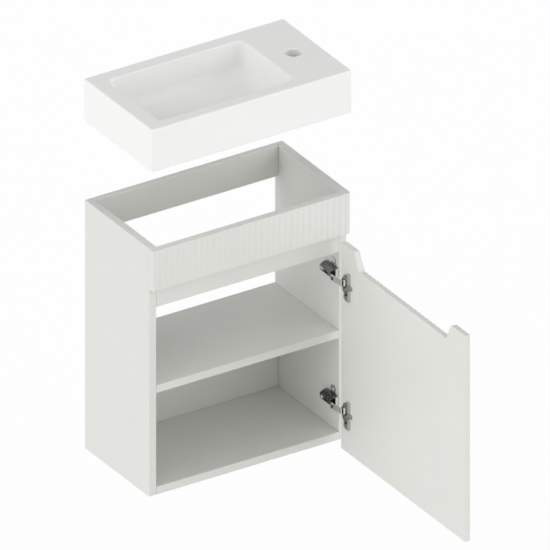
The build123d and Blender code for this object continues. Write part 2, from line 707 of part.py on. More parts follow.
def arm_screws():
    """The fixing screw and the adjusting screw of both arms."""
    screws = []
    for middle in (HINGE_LOW, HINGE_HIGH):
        for forward in ARM_SCREWS_FORWARD:
            seat = (ARM_FACE, -forward, middle)
            shank = rod(seat, (1, 0, 0), ARM_SCREW_DIAMETER, ARM_SCREW_LENGTH)
            head = rod(seat, (-1, 0, 0), ARM_SCREW_HEAD_DIAMETER, ARM_SCREW_HEAD_HEIGHT)
            screws.append(shank + head)
    return group(screws)


# Basin
def basin():
    """A shallow moulded basin: bowl on the left, tap deck on the right, hollow under the deck."""
    half = BASIN_WIDTH / 2
    body = block((-half, half), (-BASIN_DEPTH, 0), (0, BASIN_HEIGHT))
    above_foot = body.edges().filter_by(lambda edge: edge.center().Z > 0)
    body = fillet(above_foot, BASIN_ROUND)
    body = fillet(body.faces().sort_by(Axis.Z)[0].edges(), BASIN_FOOT_ROUND)
    left = -half + BOWL_LEFT_RIM
    right = half - TAP_DECK
    front = -(BASIN_DEPTH - BOWL_FRONT_RIM)
    rear = -BOWL_REAR_RIM
    mouth = Pos((left + right) / 2, (front + rear) / 2, BASIN_HEIGHT) * RectangleRounded(
        right - left, rear - front, BOWL_CORNER
    )
    bowl = extrude(mouth, amount=-BOWL_DEPTH, taper=BOWL_DRAFT)
    bowl = fillet(bowl.faces().sort_by(Axis.Z)[0].edges(), BOWL_FLOOR_ROUND)
    body -= bowl
    rim = [edge for edge in body.faces().sort_by(Axis.Z)[-1].inner_wires()[0].edges()]
    body = fillet(rim, BOWL_LIP_ROUND)
    pocket_width = TAP_DECK - 2 * DECK_WALL
    pocket_depth = BASIN_DEPTH - 2 * DECK_WALL
    pocket_at = Pos(half - TAP_DECK / 2, -BASIN_DEPTH / 2, 0)
    pocket_face = pocket_at * RectangleRounded(pocket_width, pocket_depth, POCKET_CORNER)
    body -= extrude(pocket_face, amount=BASIN_HEIGHT - DECK_THICKNESS)
    tap_x = half - TAP_FROM_RIGHT
    tap_top = (tap_x, -TAP_FROM_REAR, BASIN_HEIGHT)
    body -= rod(tap_top, (0, 0, -1), TAP_HOLE_DIAMETER, DECK_THICKNESS)
    body = ease_round_edge(body, tap_x, -TAP_FROM_REAR, BASIN_HEIGHT, TAP_HOLE_DIAMETER)
    waste_x = (left + right) / 2
    body -= upright(waste_x, -WASTE_FROM_REAR, (0, BASIN_HEIGHT - BOWL_DEPTH), WASTE_HOLE_DIAMETER)
    return Pos(0, 0, BASIN_FLOOR) * body


def ease_round_edge(solid, x, y, z, diameter):
    """The solid with the round edge of one upright hole eased."""
    rings = [
        edge
        for edge in solid.edges().filter_by(GeomType.CIRCLE)
        if abs(edge.radius - diameter / 2) < TAP_HOLE_EDGE_ROUND
        and (edge.arc_center - Vector(x, y, z)).length < TAP_HOLE_EDGE_ROUND
    ]
    return fillet(rings, TAP_HOLE_EDGE_ROUND)


def pieces():
    """Every piece of the unit by its name, laid out from the underside of the carcass."""
    shelf_bottom = SHELF_BOTTOM
    back_y = (-BACK_BOARD, 0)
    front_rail = upright_board(
        (-CARCASS_DEPTH, -(CARCASS_DEPTH - BOARD)), (FRONT_RAIL_TOP - FRONT_RAIL_HEIGHT, FRONT_RAIL_TOP)
    )
    return {
        "side_panel_left": side_panel(-1),
        "side_panel_right": side_panel(1),
        "bottom_panel": level_board(0.0),
        "fixed_shelf": level_board(shelf_bottom),
        "lower_back_panel": upright_board(back_y, (BOARD, shelf_bottom)),
        "back_rail": upright_board(back_y, (CARCASS_HEIGHT - BACK_RAIL_HEIGHT, CARCASS_HEIGHT)),
        "front_rail": cut(front_rail, FASCIA_SCREW_HOLES),
        "fluted_fascia": fascia(),
        "fascia_screws": group(fascia_screw(x, 0.0) for x in fascia_screw_places()),
        "carcass_dowels": group(dowels(0.0, 0.0)),
        "cam_bolts": group(cam_bolt(*place, 0.0) for place in cam_places()),
        "cam_locks": group(cam_lock(*place) for place in cam_places()),
        "fluted_door": door_panel(),
        "lower_hinge_cup": hinge_cup(HINGE_LOW),
        "upper_hinge_cup": hinge_cup(HINGE_HIGH),
        "cup_screws": cup_screws(),
        "cup_pins": cup_pins(),
        "lower_hinge_link": hinge_link(HINGE_LOW),
        "upper_hinge_link": hinge_link(HINGE_HIGH),
        "arm_pins": arm_pins(),
        "lower_hinge_arm": hinge_arm(HINGE_LOW),
        "upper_hinge_arm": hinge_arm(HINGE_HIGH),
        "arm_screws": arm_screws(),
        "lower_mounting_plate": mounting_plate(HINGE_LOW),
        "upper_mounting_plate": mounting_plate(HINGE_HIGH),
        "plate_screws": plate_screws(),
        "basin": basin(),
    }


def main():
    """Write each piece, moved so that the origin lies on the wall behind the back rail."""
    os.makedirs("parts", exist_ok=True)
    for name, shape in pieces().items():
        export_step(Pos(0, 0, -ORIGIN_HEIGHT) * shape, f"parts/{name}.step")
    print("arm pin", ARM_PIN, "cup pin", CUP_PIN, "cup pin closed", CUP_PIN_CLOSED)


main()
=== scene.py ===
"""Dresses the cloakroom vanity unit: its boards, ribbed fronts, hinges, basin and studio."""

import logging
import math
from dataclasses import dataclass, field
from enum import Enum

import bmesh
import bpy
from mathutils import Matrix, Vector


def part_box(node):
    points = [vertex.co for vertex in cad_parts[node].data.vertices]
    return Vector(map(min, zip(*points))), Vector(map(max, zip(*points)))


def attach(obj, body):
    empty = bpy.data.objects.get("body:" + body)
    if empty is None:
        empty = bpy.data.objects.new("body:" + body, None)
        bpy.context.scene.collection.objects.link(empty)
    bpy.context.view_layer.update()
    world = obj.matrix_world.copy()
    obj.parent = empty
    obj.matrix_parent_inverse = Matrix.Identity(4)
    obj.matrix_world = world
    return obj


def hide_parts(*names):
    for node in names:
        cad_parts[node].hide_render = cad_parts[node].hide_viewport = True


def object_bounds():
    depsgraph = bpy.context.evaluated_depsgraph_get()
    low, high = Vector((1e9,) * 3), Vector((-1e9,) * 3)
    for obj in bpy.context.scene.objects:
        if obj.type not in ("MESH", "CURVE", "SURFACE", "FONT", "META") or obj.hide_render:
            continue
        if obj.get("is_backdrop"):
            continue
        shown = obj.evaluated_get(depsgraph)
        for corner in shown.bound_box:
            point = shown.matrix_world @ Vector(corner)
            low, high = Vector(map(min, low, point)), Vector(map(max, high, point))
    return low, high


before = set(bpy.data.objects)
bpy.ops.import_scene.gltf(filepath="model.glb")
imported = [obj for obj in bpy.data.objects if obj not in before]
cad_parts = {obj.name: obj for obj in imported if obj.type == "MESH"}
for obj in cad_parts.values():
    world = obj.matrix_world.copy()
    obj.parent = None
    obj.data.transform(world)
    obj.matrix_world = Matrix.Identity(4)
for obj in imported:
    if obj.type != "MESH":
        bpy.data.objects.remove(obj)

MM = 0.001
LOG = logging.getLogger("vanity")

# Lengths in metres and angles in degrees that every mesh keeps to
WELD_DISTANCE = 1e-6
PHASE_NUDGE = 1e-7
FLAT_ANGLE = 1.0
PRESSED_EDGE_ANGLE = 38.0
METAL_ANGLE = 40.0
BOARD_ANGLE = 32.0

# Where most of a noise's values lie
NOISE_LOW = 0.3
NOISE_HIGH = 0.7

SIDES = (-1, 1)

Ring = list[Vector]
Colour = tuple[float, float, float]
Outline = list[tuple[float, float]]
Profile = tuple[tuple[float, float], ...]
Socket = bpy.types.NodeSocket


class Body(Enum):
    """The bodies of the frame that a piece may ride on."""

    CARCASS = "root"
    LINKS = "hinge_links"
    DOOR = "door"
    BASIN = "basin"


class Level(Enum):
    """The two hinges."""

    LOWER = "lower"
    UPPER = "upper"


class Slot(Enum):
    """The record's material slots that new pieces take."""

    LACQUER = "lacquered_board"
    BASIN = "cast_basin"
    PLATED = "plated_steel"
    SCREW = "zinc_screw"


class Combination(Enum):
    """How one solid meets another."""

    ADDED = "UNION"
    TAKEN_OUT = "DIFFERENCE"


# Finishes
class ShaderPlan:
    """Lays out one material's nodes, with coordinates in millimetres."""

    def __init__(self, name: str) -> None:
        """Starts a material that has a Principled shader and an output.

        Args:
            name: The material's name.
        """
        self.material = bpy.data.materials.new(name)
        self.material.use_nodes = True
        self.tree = self.material.node_tree
        self.tree.nodes.clear()
        self.shader = self.tree.nodes.new("ShaderNodeBsdfPrincipled")
        output = self.tree.nodes.new("ShaderNodeOutputMaterial")
        self.tree.links.new(self.shader.outputs["BSDF"], output.inputs["Surface"])
        coordinates = self.tree.nodes.new("ShaderNodeTexCoord")
        self.place = self.stretched(coordinates.outputs["Object"], (1 / MM, 1 / MM, 1 / MM))

    def stretched(self, source: Socket, scale: Colour) -> Socket:
        """Scales a coordinate.

        Args:
            source: The coordinate.
            scale: The factor on each axis.

        Returns:
            The scaled coordinate.
        """
        mapping = self.tree.nodes.new("ShaderNodeMapping")
        mapping.inputs["Scale"].default_value = scale
        self.tree.links.new(source, mapping.inputs["Vector"])
        return mapping.outputs["Vector"]

    def noise(self, size: float, detail: float = 3.0, place: Socket | None = None) -> Socket:
        """Adds a noise.

        Args:
            size: About how large its patches are, in millimetres.
            detail: How many finer noises are laid over it.
            place: The coordinate that it follows, or none for the plain one.

        Returns:
            The noise's value, from 0 to 1.
        """
        node = self.tree.nodes.new("ShaderNodeTexNoise")
        node.inputs["Scale"].default_value = 1 / size
        node.inputs["Detail"].default_value = detail
        self.tree.links.new(place or self.place, node.inputs["Vector"])
        return node.outputs["Fac"]

    def ranged(self, value: Socket, low: float, high: float) -> Socket:
        """Spreads the middle of a noise over a range.

        Args:
            value: The noise.
            low: What a low value becomes.
            high: What a high value becomes.

        Returns:
            The new value.
        """
        node = self.tree.nodes.new("ShaderNodeMapRange")
        node.inputs["From Min"].default_value = NOISE_LOW
        node.inputs["From Max"].default_value = NOISE_HIGH
        node.inputs["To Min"].default_value = low
        node.inputs["To Max"].default_value = high
        self.tree.links.new(value, node.inputs["Value"])
        return node.outputs["Result"]

    def coloured(self, value: Socket, first: Colour, second: Colour) -> Socket:
        """Turns a value into a colour between two colours.

        Args:
            value: From 0 to 1.
            first: The colour at 0.
            second: The colour at 1.

        Returns:
            The colour.
        """
        node = self.tree.nodes.new("ShaderNodeMix")
        node.data_type = "RGBA"
        colour_a = [socket for socket in node.inputs if socket.identifier == "A_Color"][0]
        colour_b = [socket for socket in node.inputs if socket.identifier == "B_Color"][0]
        colour_a.default_value = (*first, 1.0)
        colour_b.default_value = (*second, 1.0)
        self.tree.links.new(value, node.inputs["Factor"])
        return [socket for socket in node.outputs if socket.identifier == "Result_Color"][0]

    def bumped(self, height: Socket, strength: float, distance: float) -> None:
        """Presses a height into the surface.

        Args:
            height: The height, from 0 to 1.
            strength: How much of the effect is kept.
            distance: How deep it is, in millimetres.
        """
        node = self.tree.nodes.new("ShaderNodeBump")
        node.inputs["Strength"].default_value = strength
        node.inputs["Distance"].default_value = distance * MM
        self.tree.links.new(height, node.inputs["Height"])
        self.tree.links.new(node.outputs["Normal"], self.shader.inputs["Normal"])

    def set(self, **values: float) -> None:
        """Sets sockets of the shader, named with low lines for their spaces."""
        for name, value in values.items():
            self.shader.inputs[name.replace("_", " ")].default_value = value

    def drive(self, name: str, source: Socket) -> None:
        """Links a value to a socket of the shader."""
        self.tree.links.new(source, self.shader.inputs[name])


def shade(colour: Colour, factor: float) -> Colour:
    """A colour made lighter or darker by a factor."""
    return tuple(min(channel * factor, 1.0) for channel in colour)


@dataclass(frozen=True)
class LacquerFinish:
    """Satin lacquer on board: faint cloudiness, a fine orange peel, and a slightly uneven sheen."""

    name: str = "satin_lacquer"
    colour: Colour = (0.775, 0.775, 0.742)
    roughness: tuple[float, float] = (0.40, 0.48)
    cloud_size: float = 90.0
    cloud_depth: float = 0.985
    peel_size: float = 1.6
    peel_depth: float = 0.012

    def material(self) -> bpy.types.Material:
        """Builds the lacquer.

        Returns:
            Its material.
        """
        plan = ShaderPlan(self.name)
        cloud = plan.ranged(plan.noise(self.cloud_size), 0.0, 1.0)
        plan.drive("Base Color", plan.coloured(cloud, shade(self.colour, self.cloud_depth), self.colour))
        plan.drive("Roughness", plan.ranged(plan.noise(self.cloud_size / 3), *self.roughness))
        plan.bumped(plan.noise(self.peel_size, 2.0), 1.0, self.peel_depth)
        plan.set(Specular_IOR_Level=0.45)
        return plan.material


@dataclass(frozen=True)
class CastFinish:
    """A cast basin: a smooth white gel coat over a mineral body."""

    name: str = "white_gel_coat"
    colour: Colour = (0.93, 0.93, 0.92)
    roughness: tuple[float, float] = (0.20, 0.27)
    cloud_size: float = 60.0
    cloud_depth: float = 0.988
    ripple_size: float = 9.0
    ripple_depth: float = 0.010

    def material(self) -> bpy.types.Material:
        """Builds the gel coat.

        Returns:
            Its material.
        """
        plan = ShaderPlan(self.name)
        cloud = plan.ranged(plan.noise(self.cloud_size, 4.0), 0.0, 1.0)
        plan.drive("Base Color", plan.coloured(cloud, shade(self.colour, self.cloud_depth), self.colour))
        plan.drive("Roughness", plan.ranged(plan.noise(self.cloud_size / 4), *self.roughness))
        plan.bumped(plan.noise(self.ripple_size, 1.0), 1.0, self.ripple_depth)
        plan.set(Specular_IOR_Level=0.5)
        return plan.material


@dataclass(frozen=True)
class MetalFinish:
    """Plated or cast metal: rolled or tumbled marks along one axis, and a mottled sheen."""

    name: str
    colour: Colour
    roughness: tuple[float, float]
    mottle_size: float = 2.5
    mottle_depth: float = 0.95
    mark_stretch: Colour = (1.0, 1.0, 0.12)
    mark_size: float = 0.18
    mark_depth: float = 0.006

    def material(self) -> bpy.types.Material:
        """Builds the metal.

        Returns:
            Its material.
        """
        plan = ShaderPlan(self.name)
        mottle = plan.ranged(plan.noise(self.mottle_size, 4.0), 0.0, 1.0)
        plan.drive("Base Color", plan.coloured(mottle, shade(self.colour, self.mottle_depth), self.colour))
        plan.drive("Roughness", plan.ranged(plan.noise(self.mottle_size * 2), *self.roughness))
        marks = plan.noise(self.mark_size, 2.0, plan.stretched(plan.place, self.mark_stretch))
        plan.bumped(marks, 1.0, self.mark_depth)
        plan.set(Metallic=1.0)
        return plan.material


@dataclass(frozen=True)
class BeechFinish:
    """Planed beech with its grain along X."""

    name: str = "beech"
    light: Colour = (0.62, 0.42, 0.25)
    dark: Colour = (0.46, 0.28, 0.15)
    roughness: tuple[float, float] = (0.55, 0.7)
    grain_size: float = 0.9
    grain_stretch: Colour = (0.06, 1.0, 1.0)
    grain_depth: float = 0.05

    def material(self) -> bpy.types.Material:
        """Builds the wood.

        Returns:
            Its material.
        """
        plan = ShaderPlan(self.name)
        grain = plan.noise(self.grain_size, 4.0, plan.stretched(plan.place, self.grain_stretch))
        plan.drive("Base Color", plan.coloured(plan.ranged(grain, 0.0, 1.0), self.dark, self.light))
        plan.drive("Roughness", plan.ranged(grain, *self.roughness))
        plan.bumped(grain, 1.0, self.grain_depth)
        return plan.material


@dataclass(frozen=True)
class Palette:
    """Every finish of the unit, built once."""

    lacquer: bpy.types.Material
    basin: bpy.types.Material
    nickel: bpy.types.Material
    dark_nickel: bpy.types.Material
    bright: bpy.types.Material
    zinc: bpy.types.Material
    casting: bpy.types.Material
    beech: bpy.types.Material

    @classmethod
    def made(cls) -> "Palette":
        """Builds every finish.

        Returns:
            The palette.
        """
        nickel = MetalFinish("satin_nickel", (0.56, 0.56, 0.54), (0.22, 0.34))
        # The arms' nickel is far darker than that of the cups and plates: painted shade, a dark colour
        # standing in for the dark reflections on plated steel.
        dark_nickel = MetalFinish("dark_nickel", (0.17, 0.17, 0.175), (0.18, 0.3))
        # The links' nickel is far lighter than that of the cups and plates: a painted highlight, a light
        # colour standing in for the bright band reflected by the plated link.
        bright = MetalFinish("nickel_with_painted_highlight", (0.86, 0.86, 0.84), (0.12, 0.2))
        zinc = MetalFinish("zinc_plate", (0.62, 0.63, 0.64), (0.26, 0.4))
        casting = MetalFinish("die_cast_zinc", (0.5, 0.5, 0.5), (0.42, 0.55), mark_size=0.5, mark_depth=0.02)
        return cls(
            lacquer=LacquerFinish().material(),
            basin=CastFinish().material(),
            nickel=nickel.material(),
            dark_nickel=dark_nickel.material(),
            bright=bright.material(),
            zinc=zinc.material(),
            casting=casting.material(),
            beech=BeechFinish().material(),
        )


# Meshes
def baked(piece: bpy.types.Object) -> bpy.types.Object:
    """Turns a piece's modifiers into its mesh, and removes them.

    Args:
        piece: The object, with its modifiers.

    Returns:
        The same object, with a plain mesh.
    """
    bpy.context.view_layer.update()
    graph = bpy.context.evaluated_depsgraph_get()
    mesh = bpy.data.meshes.new_from_object(piece.evaluated_get(graph), depsgraph=graph)
    piece.modifiers.clear()
    piece.data = mesh
    mesh.name = piece.name
    return piece


def piece_from(name: str, shape: bmesh.types.BMesh, material: bpy.types.Material) -> bpy.types.Object:
    """Makes an object of a closed bmesh, with its faces turned outwards.

    Args:
        name: The piece's name.
        shape: The bmesh, which is freed.
        material: Its only material.

    Returns:
        The object, at the origin.
    """
    bmesh.ops.recalc_face_normals(shape, faces=shape.faces)
    mesh = bpy.data.meshes.new(name)
    shape.to_mesh(mesh)
    shape.free()
    mesh.materials.append(material)
    piece = bpy.data.objects.new(name, mesh)
    bpy.context.scene.collection.objects.link(piece)
    return piece


def smoothed(piece: bpy.types.Object, angle: float = BOARD_ANGLE) -> bpy.types.Object:
    """Shades a piece smooth up to an angle, with flat faces kept flat.

    Args:
        piece: The object.
        angle: Above how many degrees an edge stays sharp.

    Returns:
        The same object, baked.
    """
    mesh = piece.data
    mesh.shade_smooth()
    mesh.set_sharp_from_angle(angle=math.radians(angle))
    weighted = piece.modifiers.new("flat faces stay flat", "WEIGHTED_NORMAL")
    weighted.keep_sharp = True
    return baked(piece)


def settled(
    piece: bpy.types.Object, body: Body, nodes: tuple[str, ...] = ()
) -> bpy.types.Object:
    """Ties a finished piece to the frame.

    Args:
        piece: The object, in its place.
        body: What it rides on.
        nodes: The frame's nodes that it stands for.

    Returns:
        The same object.
    """
    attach(piece, body.value)
    if nodes:
        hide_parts(*nodes)
    LOG.info("%s rides on %s with %d faces", piece.name, body.value, len(piece.data.polygons))
    return piece


def dressed(node: str, material: bpy.types.Material) -> None:
    """Gives a carried-over node its finish.

    Args:
        node: The node's name.
        material: Its finish.
    """
    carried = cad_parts[node]
    for slot in carried.material_slots:
        slot.material = material
    LOG.info("%s keeps its own shape, in %s", node, material.name)


# Rings that are skinned into shells
def rounded_ring(low: Vector, high: Vector, corner: float, z: float, steps: int) -> Ring:
    """A rounded rectangle at one height, anticlockwise from above.

    Args:
        low: Its lowest corner, in millimetres.
        high: Its highest corner.
        corner: The radius of its corners.
        z: Its height.
        steps: How many steps each corner has.

    Returns:
        Its points.
    """
    centres = (
        (high.x - corner, low.y + corner, -90.0),
        (high.x - corner, high.y - corner, 0.0),
        (low.x + corner, high.y - corner, 90.0),
        (low.x + corner, low.y + corner, 180.0),
    )
    points = []
    for x, y, start in centres:
        for step in range(steps + 1):
            angle = math.radians(start + 90.0 * step / steps)
            points.append(Vector((x + corner * math.cos(angle), y + corner * math.sin(angle), z)))
    return points


def round_ring(x: float, y: float, radius: float, z: float, count: int) -> Ring:
    """A circle at one height, whose points match those of a rounded ring.

    Args:
        x: Its middle.
        y: Its middle.
        radius: Its radius.
        z: Its height.
        count: How many points it has.

    Returns:
        Its points.
    """
    angles = [math.radians(-90.0 + 360.0 * (index + 0.5) / count) for index in range(count)]
    return [Vector((x + radius * math.cos(a), y + radius * math.sin(a), z)) for a in angles]


def skin(shape: bmesh.types.BMesh, rings: list[Ring]) -> list[list[bmesh.types.BMVert]]:
    """Joins rings, in order, by faces.

    Args:
        shape: The bmesh that they are added to.
        rings: Rings of as many points each, in millimetres.

    Returns:
        The vertices of each ring.
    """
    made = [[shape.verts.new(point * MM) for point in ring] for ring in rings]
    for first, second in zip(made, made[1:]):
        for index, corner in enumerate(first):
            after = (index + 1) % len(first)
            shape.faces.new((corner, first[after], second[after], second[index]))
    return made


def filled(shape: bmesh.types.BMesh, *loops: list[bmesh.types.BMVert]) -> None:
    """Fills the flat face that lies between loops.

    Args:
        shape: The bmesh.
        loops: The loops of vertices, the first of which goes round the others.
    """
    edges = []
    for loop in loops:
        for index, corner in enumerate(loop):
            after = loop[(index + 1) % len(loop)]
            edges.append(shape.edges.get((corner, after)) or shape.edges.new((corner, after)))
    bmesh.ops.triangle_fill(shape, use_beauty=True, use_dissolve=False, edges=edges)


def prism(near: Ring, far: Ring) -> bpy.types.Object:
    """Makes a scratch prism between two loops.

    Args:
        near: The points of one end, in millimetres.
        far: As many points of the other end.

    Returns:
        The prism, closed.
    """
    shape = bmesh.new()
    made = skin(shape, [near, far])
    filled(shape, made[0])
    filled(shape, made[-1])
    bmesh.ops.recalc_face_normals(shape, faces=shape.faces)
    mesh = bpy.data.meshes.new("prism")
    shape.to_mesh(mesh)
    shape.free()
    piece = bpy.data.objects.new("prism", mesh)
    bpy.context.scene.collection.objects.link(piece)
    return piece


def combined(
    piece: bpy.types.Object, tools: list[bpy.types.Object], operation: Combination
) -> bpy.types.Object:
    """Adds tools to a piece, or takes them out of it, and deletes them.

    Args:
        piece: The object.
        tools: Closed scratch objects.
        operation: Whether they are added or taken out.

    Returns:
        The same object, baked.
    """
    for tool in tools:
        step = piece.modifiers.new("combine", "BOOLEAN")
        step.operation = operation.value
        step.solver = "EXACT"
        step.object = tool
        baked(piece)
        bpy.data.objects.remove(tool)
    return piece


def carved(piece: bpy.types.Object, tools: list[bpy.types.Object]) -> bpy.types.Object:
    """Takes closed tools out of a piece."""
    return combined(piece, tools, Combination.TAKEN_OUT)


def joined(piece: bpy.types.Object, others: list[bpy.types.Object]) -> bpy.types.Object:
    """Makes one closed mesh of a piece and others that meet it."""
    return combined(piece, others, Combination.ADDED)


def finish_metal(piece: bpy.types.Object, material: bpy.types.Material, softness: float) -> bpy.types.Object:
    """Rounds a metal piece's edges and gives it its finish.

    Args:
        piece: The object.
        material: Its finish.
        softness: How far its edges are rounded, in millimetres.

    Returns:
        The same object, baked.
    """
    shape = bmesh.new()
    shape.from_mesh(piece.data)
    bmesh.ops.remove_doubles(shape, verts=shape.verts, dist=WELD_DISTANCE)
    flat = math.radians(FLAT_ANGLE)
    bmesh.ops.dissolve_limit(shape, angle_limit=flat, verts=shape.verts, edges=shape.edges)
    shape.to_mesh(piece.data)
    shape.free()
    piece.data.materials.clear()
    piece.data.materials.append(material)
    for face in piece.data.polygons:
        face.material_index = 0
    bevel = piece.modifiers.new("pressed edges", "BEVEL")
    bevel.width = softness * MM
    bevel.segments = 3
    bevel.limit_method = "ANGLE"
    bevel.angle_limit = math.radians(PRESSED_EDGE_ANGLE)
    baked(piece)
    return smoothed(piece, METAL_ANGLE)


def softened(node: str, name: str, material: bpy.types.Material, softness: float) -> bpy.types.Object:
    """A copy of a carried-over node with its edges rounded.

    Args:
        node: The node's name.
        name: The new piece's name.
        material: Its finish.
        softness: How far its edges are rounded, in millimetres.

    Returns:
        The new piece.
    """
    piece = bpy.data.objects.new(name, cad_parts[node].data.copy())
    bpy.context.scene.collection.objects.link(piece)
    return finish_metal(piece, material, softness)


# Geometry nodes
class NodePlan:
    """Lays out one geometry node tree with named inputs."""

    def __init__(self, name: str) -> None:
        """Starts a tree that has a mesh going in and a mesh coming out.

        Args:
            name: The tree's name.
        """
        self.tree = bpy.data.node_groups.new(name, "GeometryNodeTree")
        self.tree.is_modifier = True
        self.tree.interface.new_socket("Geometry", in_out="INPUT", socket_type="NodeSocketGeometry")
        self.tree.interface.new_socket("Geometry", in_out="OUTPUT", socket_type="NodeSocketGeometry")
        self.entry = self.tree.nodes.new("NodeGroupInput")
        self.exit = self.tree.nodes.new("NodeGroupOutput")
        self.values: dict[str, object] = {}

    def given(self, name: str, kind: str, value: object) -> Socket:
        """Adds a named input.

        Args:
            name: The input's name.
            kind: The socket's kind, such as Float, Int, Vector, Object or Material.
            value: What the modifier sets it to.

        Returns:
            The socket that carries it inside the tree.
        """
        socket = self.tree.interface.new_socket(name, in_out="INPUT", socket_type=f"NodeSocket{kind}")
        self.values[socket.identifier] = value
        return self.entry.outputs[name]

    def node(self, kind: str, settings: dict[str, object] | None = None, **inputs: object) -> bpy.types.Node:
        """Adds a node.

        Args:
            kind: The node's kind.
            settings: Properties of the node.
            inputs: Sockets or values for its inputs, named with low lines for their spaces.

        Returns:
            The node.
        """
        node = self.tree.nodes.new(kind)
        for name, value in (settings or {}).items():
            setattr(node, name, value)
        for name, value in inputs.items():
            self.put(node.inputs[name.replace("_", " ")], value)
        return node

    def put(self, socket: Socket, value: object) -> None:
        """Links a socket, or sets a value, to an input.

        Args:
            socket: The input.
            value: A socket or a value.
        """
        if isinstance(value, Socket):
            self.tree.links.new(value, socket)
        else:
            socket.default_value = value

    def maths(self, operation: str, *values: object) -> Socket:
        """One step of arithmetic.

        Args:
            operation: Its name, such as ADD.
            values: One to three sockets or numbers.

        Returns:
            The result.
        """
        node = self.tree.nodes.new("ShaderNodeMath")
        node.operation = operation
        for socket, value in zip(node.inputs, values):
            self.put(socket, value)
        return node.outputs["Value"]

    def plus(self, first: object, second: object) -> Socket:
        """The sum of two numbers."""
        return self.maths("ADD", first, second)

    def minus(self, first: object, second: object) -> Socket:
        """One number less another."""
        return self.maths("SUBTRACT", first, second)

    def times(self, first: object, second: object) -> Socket:
        """The product of two numbers."""
        return self.maths("MULTIPLY", first, second)

    def over(self, first: object, second: object) -> Socket:
        """One number divided by another."""
        return self.maths("DIVIDE", first, second)

    def chosen(self, test: Socket, no: object, yes: object) -> Socket:
        """Chooses one of two numbers by a test.

        Args:
            test: The test.
            no: The number where it fails.
            yes: The number where it holds.

        Returns:
            The chosen number.
        """
        node = self.tree.nodes.new("GeometryNodeSwitch")
        node.input_type = "FLOAT"
        self.put(node.inputs["Switch"], test)
        self.put(node.inputs["False"], no)
        self.put(node.inputs["True"], yes)
        return node.outputs["Output"]

    def less(self, first: object, second: object) -> Socket:
        """Whether one number is less than another."""
        return self.maths("LESS_THAN", first, second)

    def close(self, geometry: Socket, material: Socket) -> None:
        """Ends the tree: instances are made real and the material is set.

        Args:
            geometry: What the tree made.
            material: Its finish.
        """
        real = self.node("GeometryNodeRealizeInstances", Geometry=geometry)
        painted = self.node("GeometryNodeSetMaterial", Geometry=real.outputs["Geometry"], Material=material)
        self.tree.links.new(painted.outputs["Geometry"], self.exit.inputs["Geometry"])

    def grown(self, name: str, start: bpy.types.Mesh | None = None) -> bpy.types.Object:
        """Runs the tree and bakes what it makes.

        Args:
            name: The piece's name.
            start: The mesh that goes in, or none.

        Returns:
            The object, with a plain mesh.
        """
        piece = bpy.data.objects.new(name, start or bpy.data.meshes.new(name))
        bpy.context.scene.collection.objects.link(piece)
        modifier = piece.modifiers.new(self.tree.name, "NODES")
        modifier.node_group = self.tree
        for identifier, value in self.values.items():
            modifier[identifier] = value
        return baked(piece)


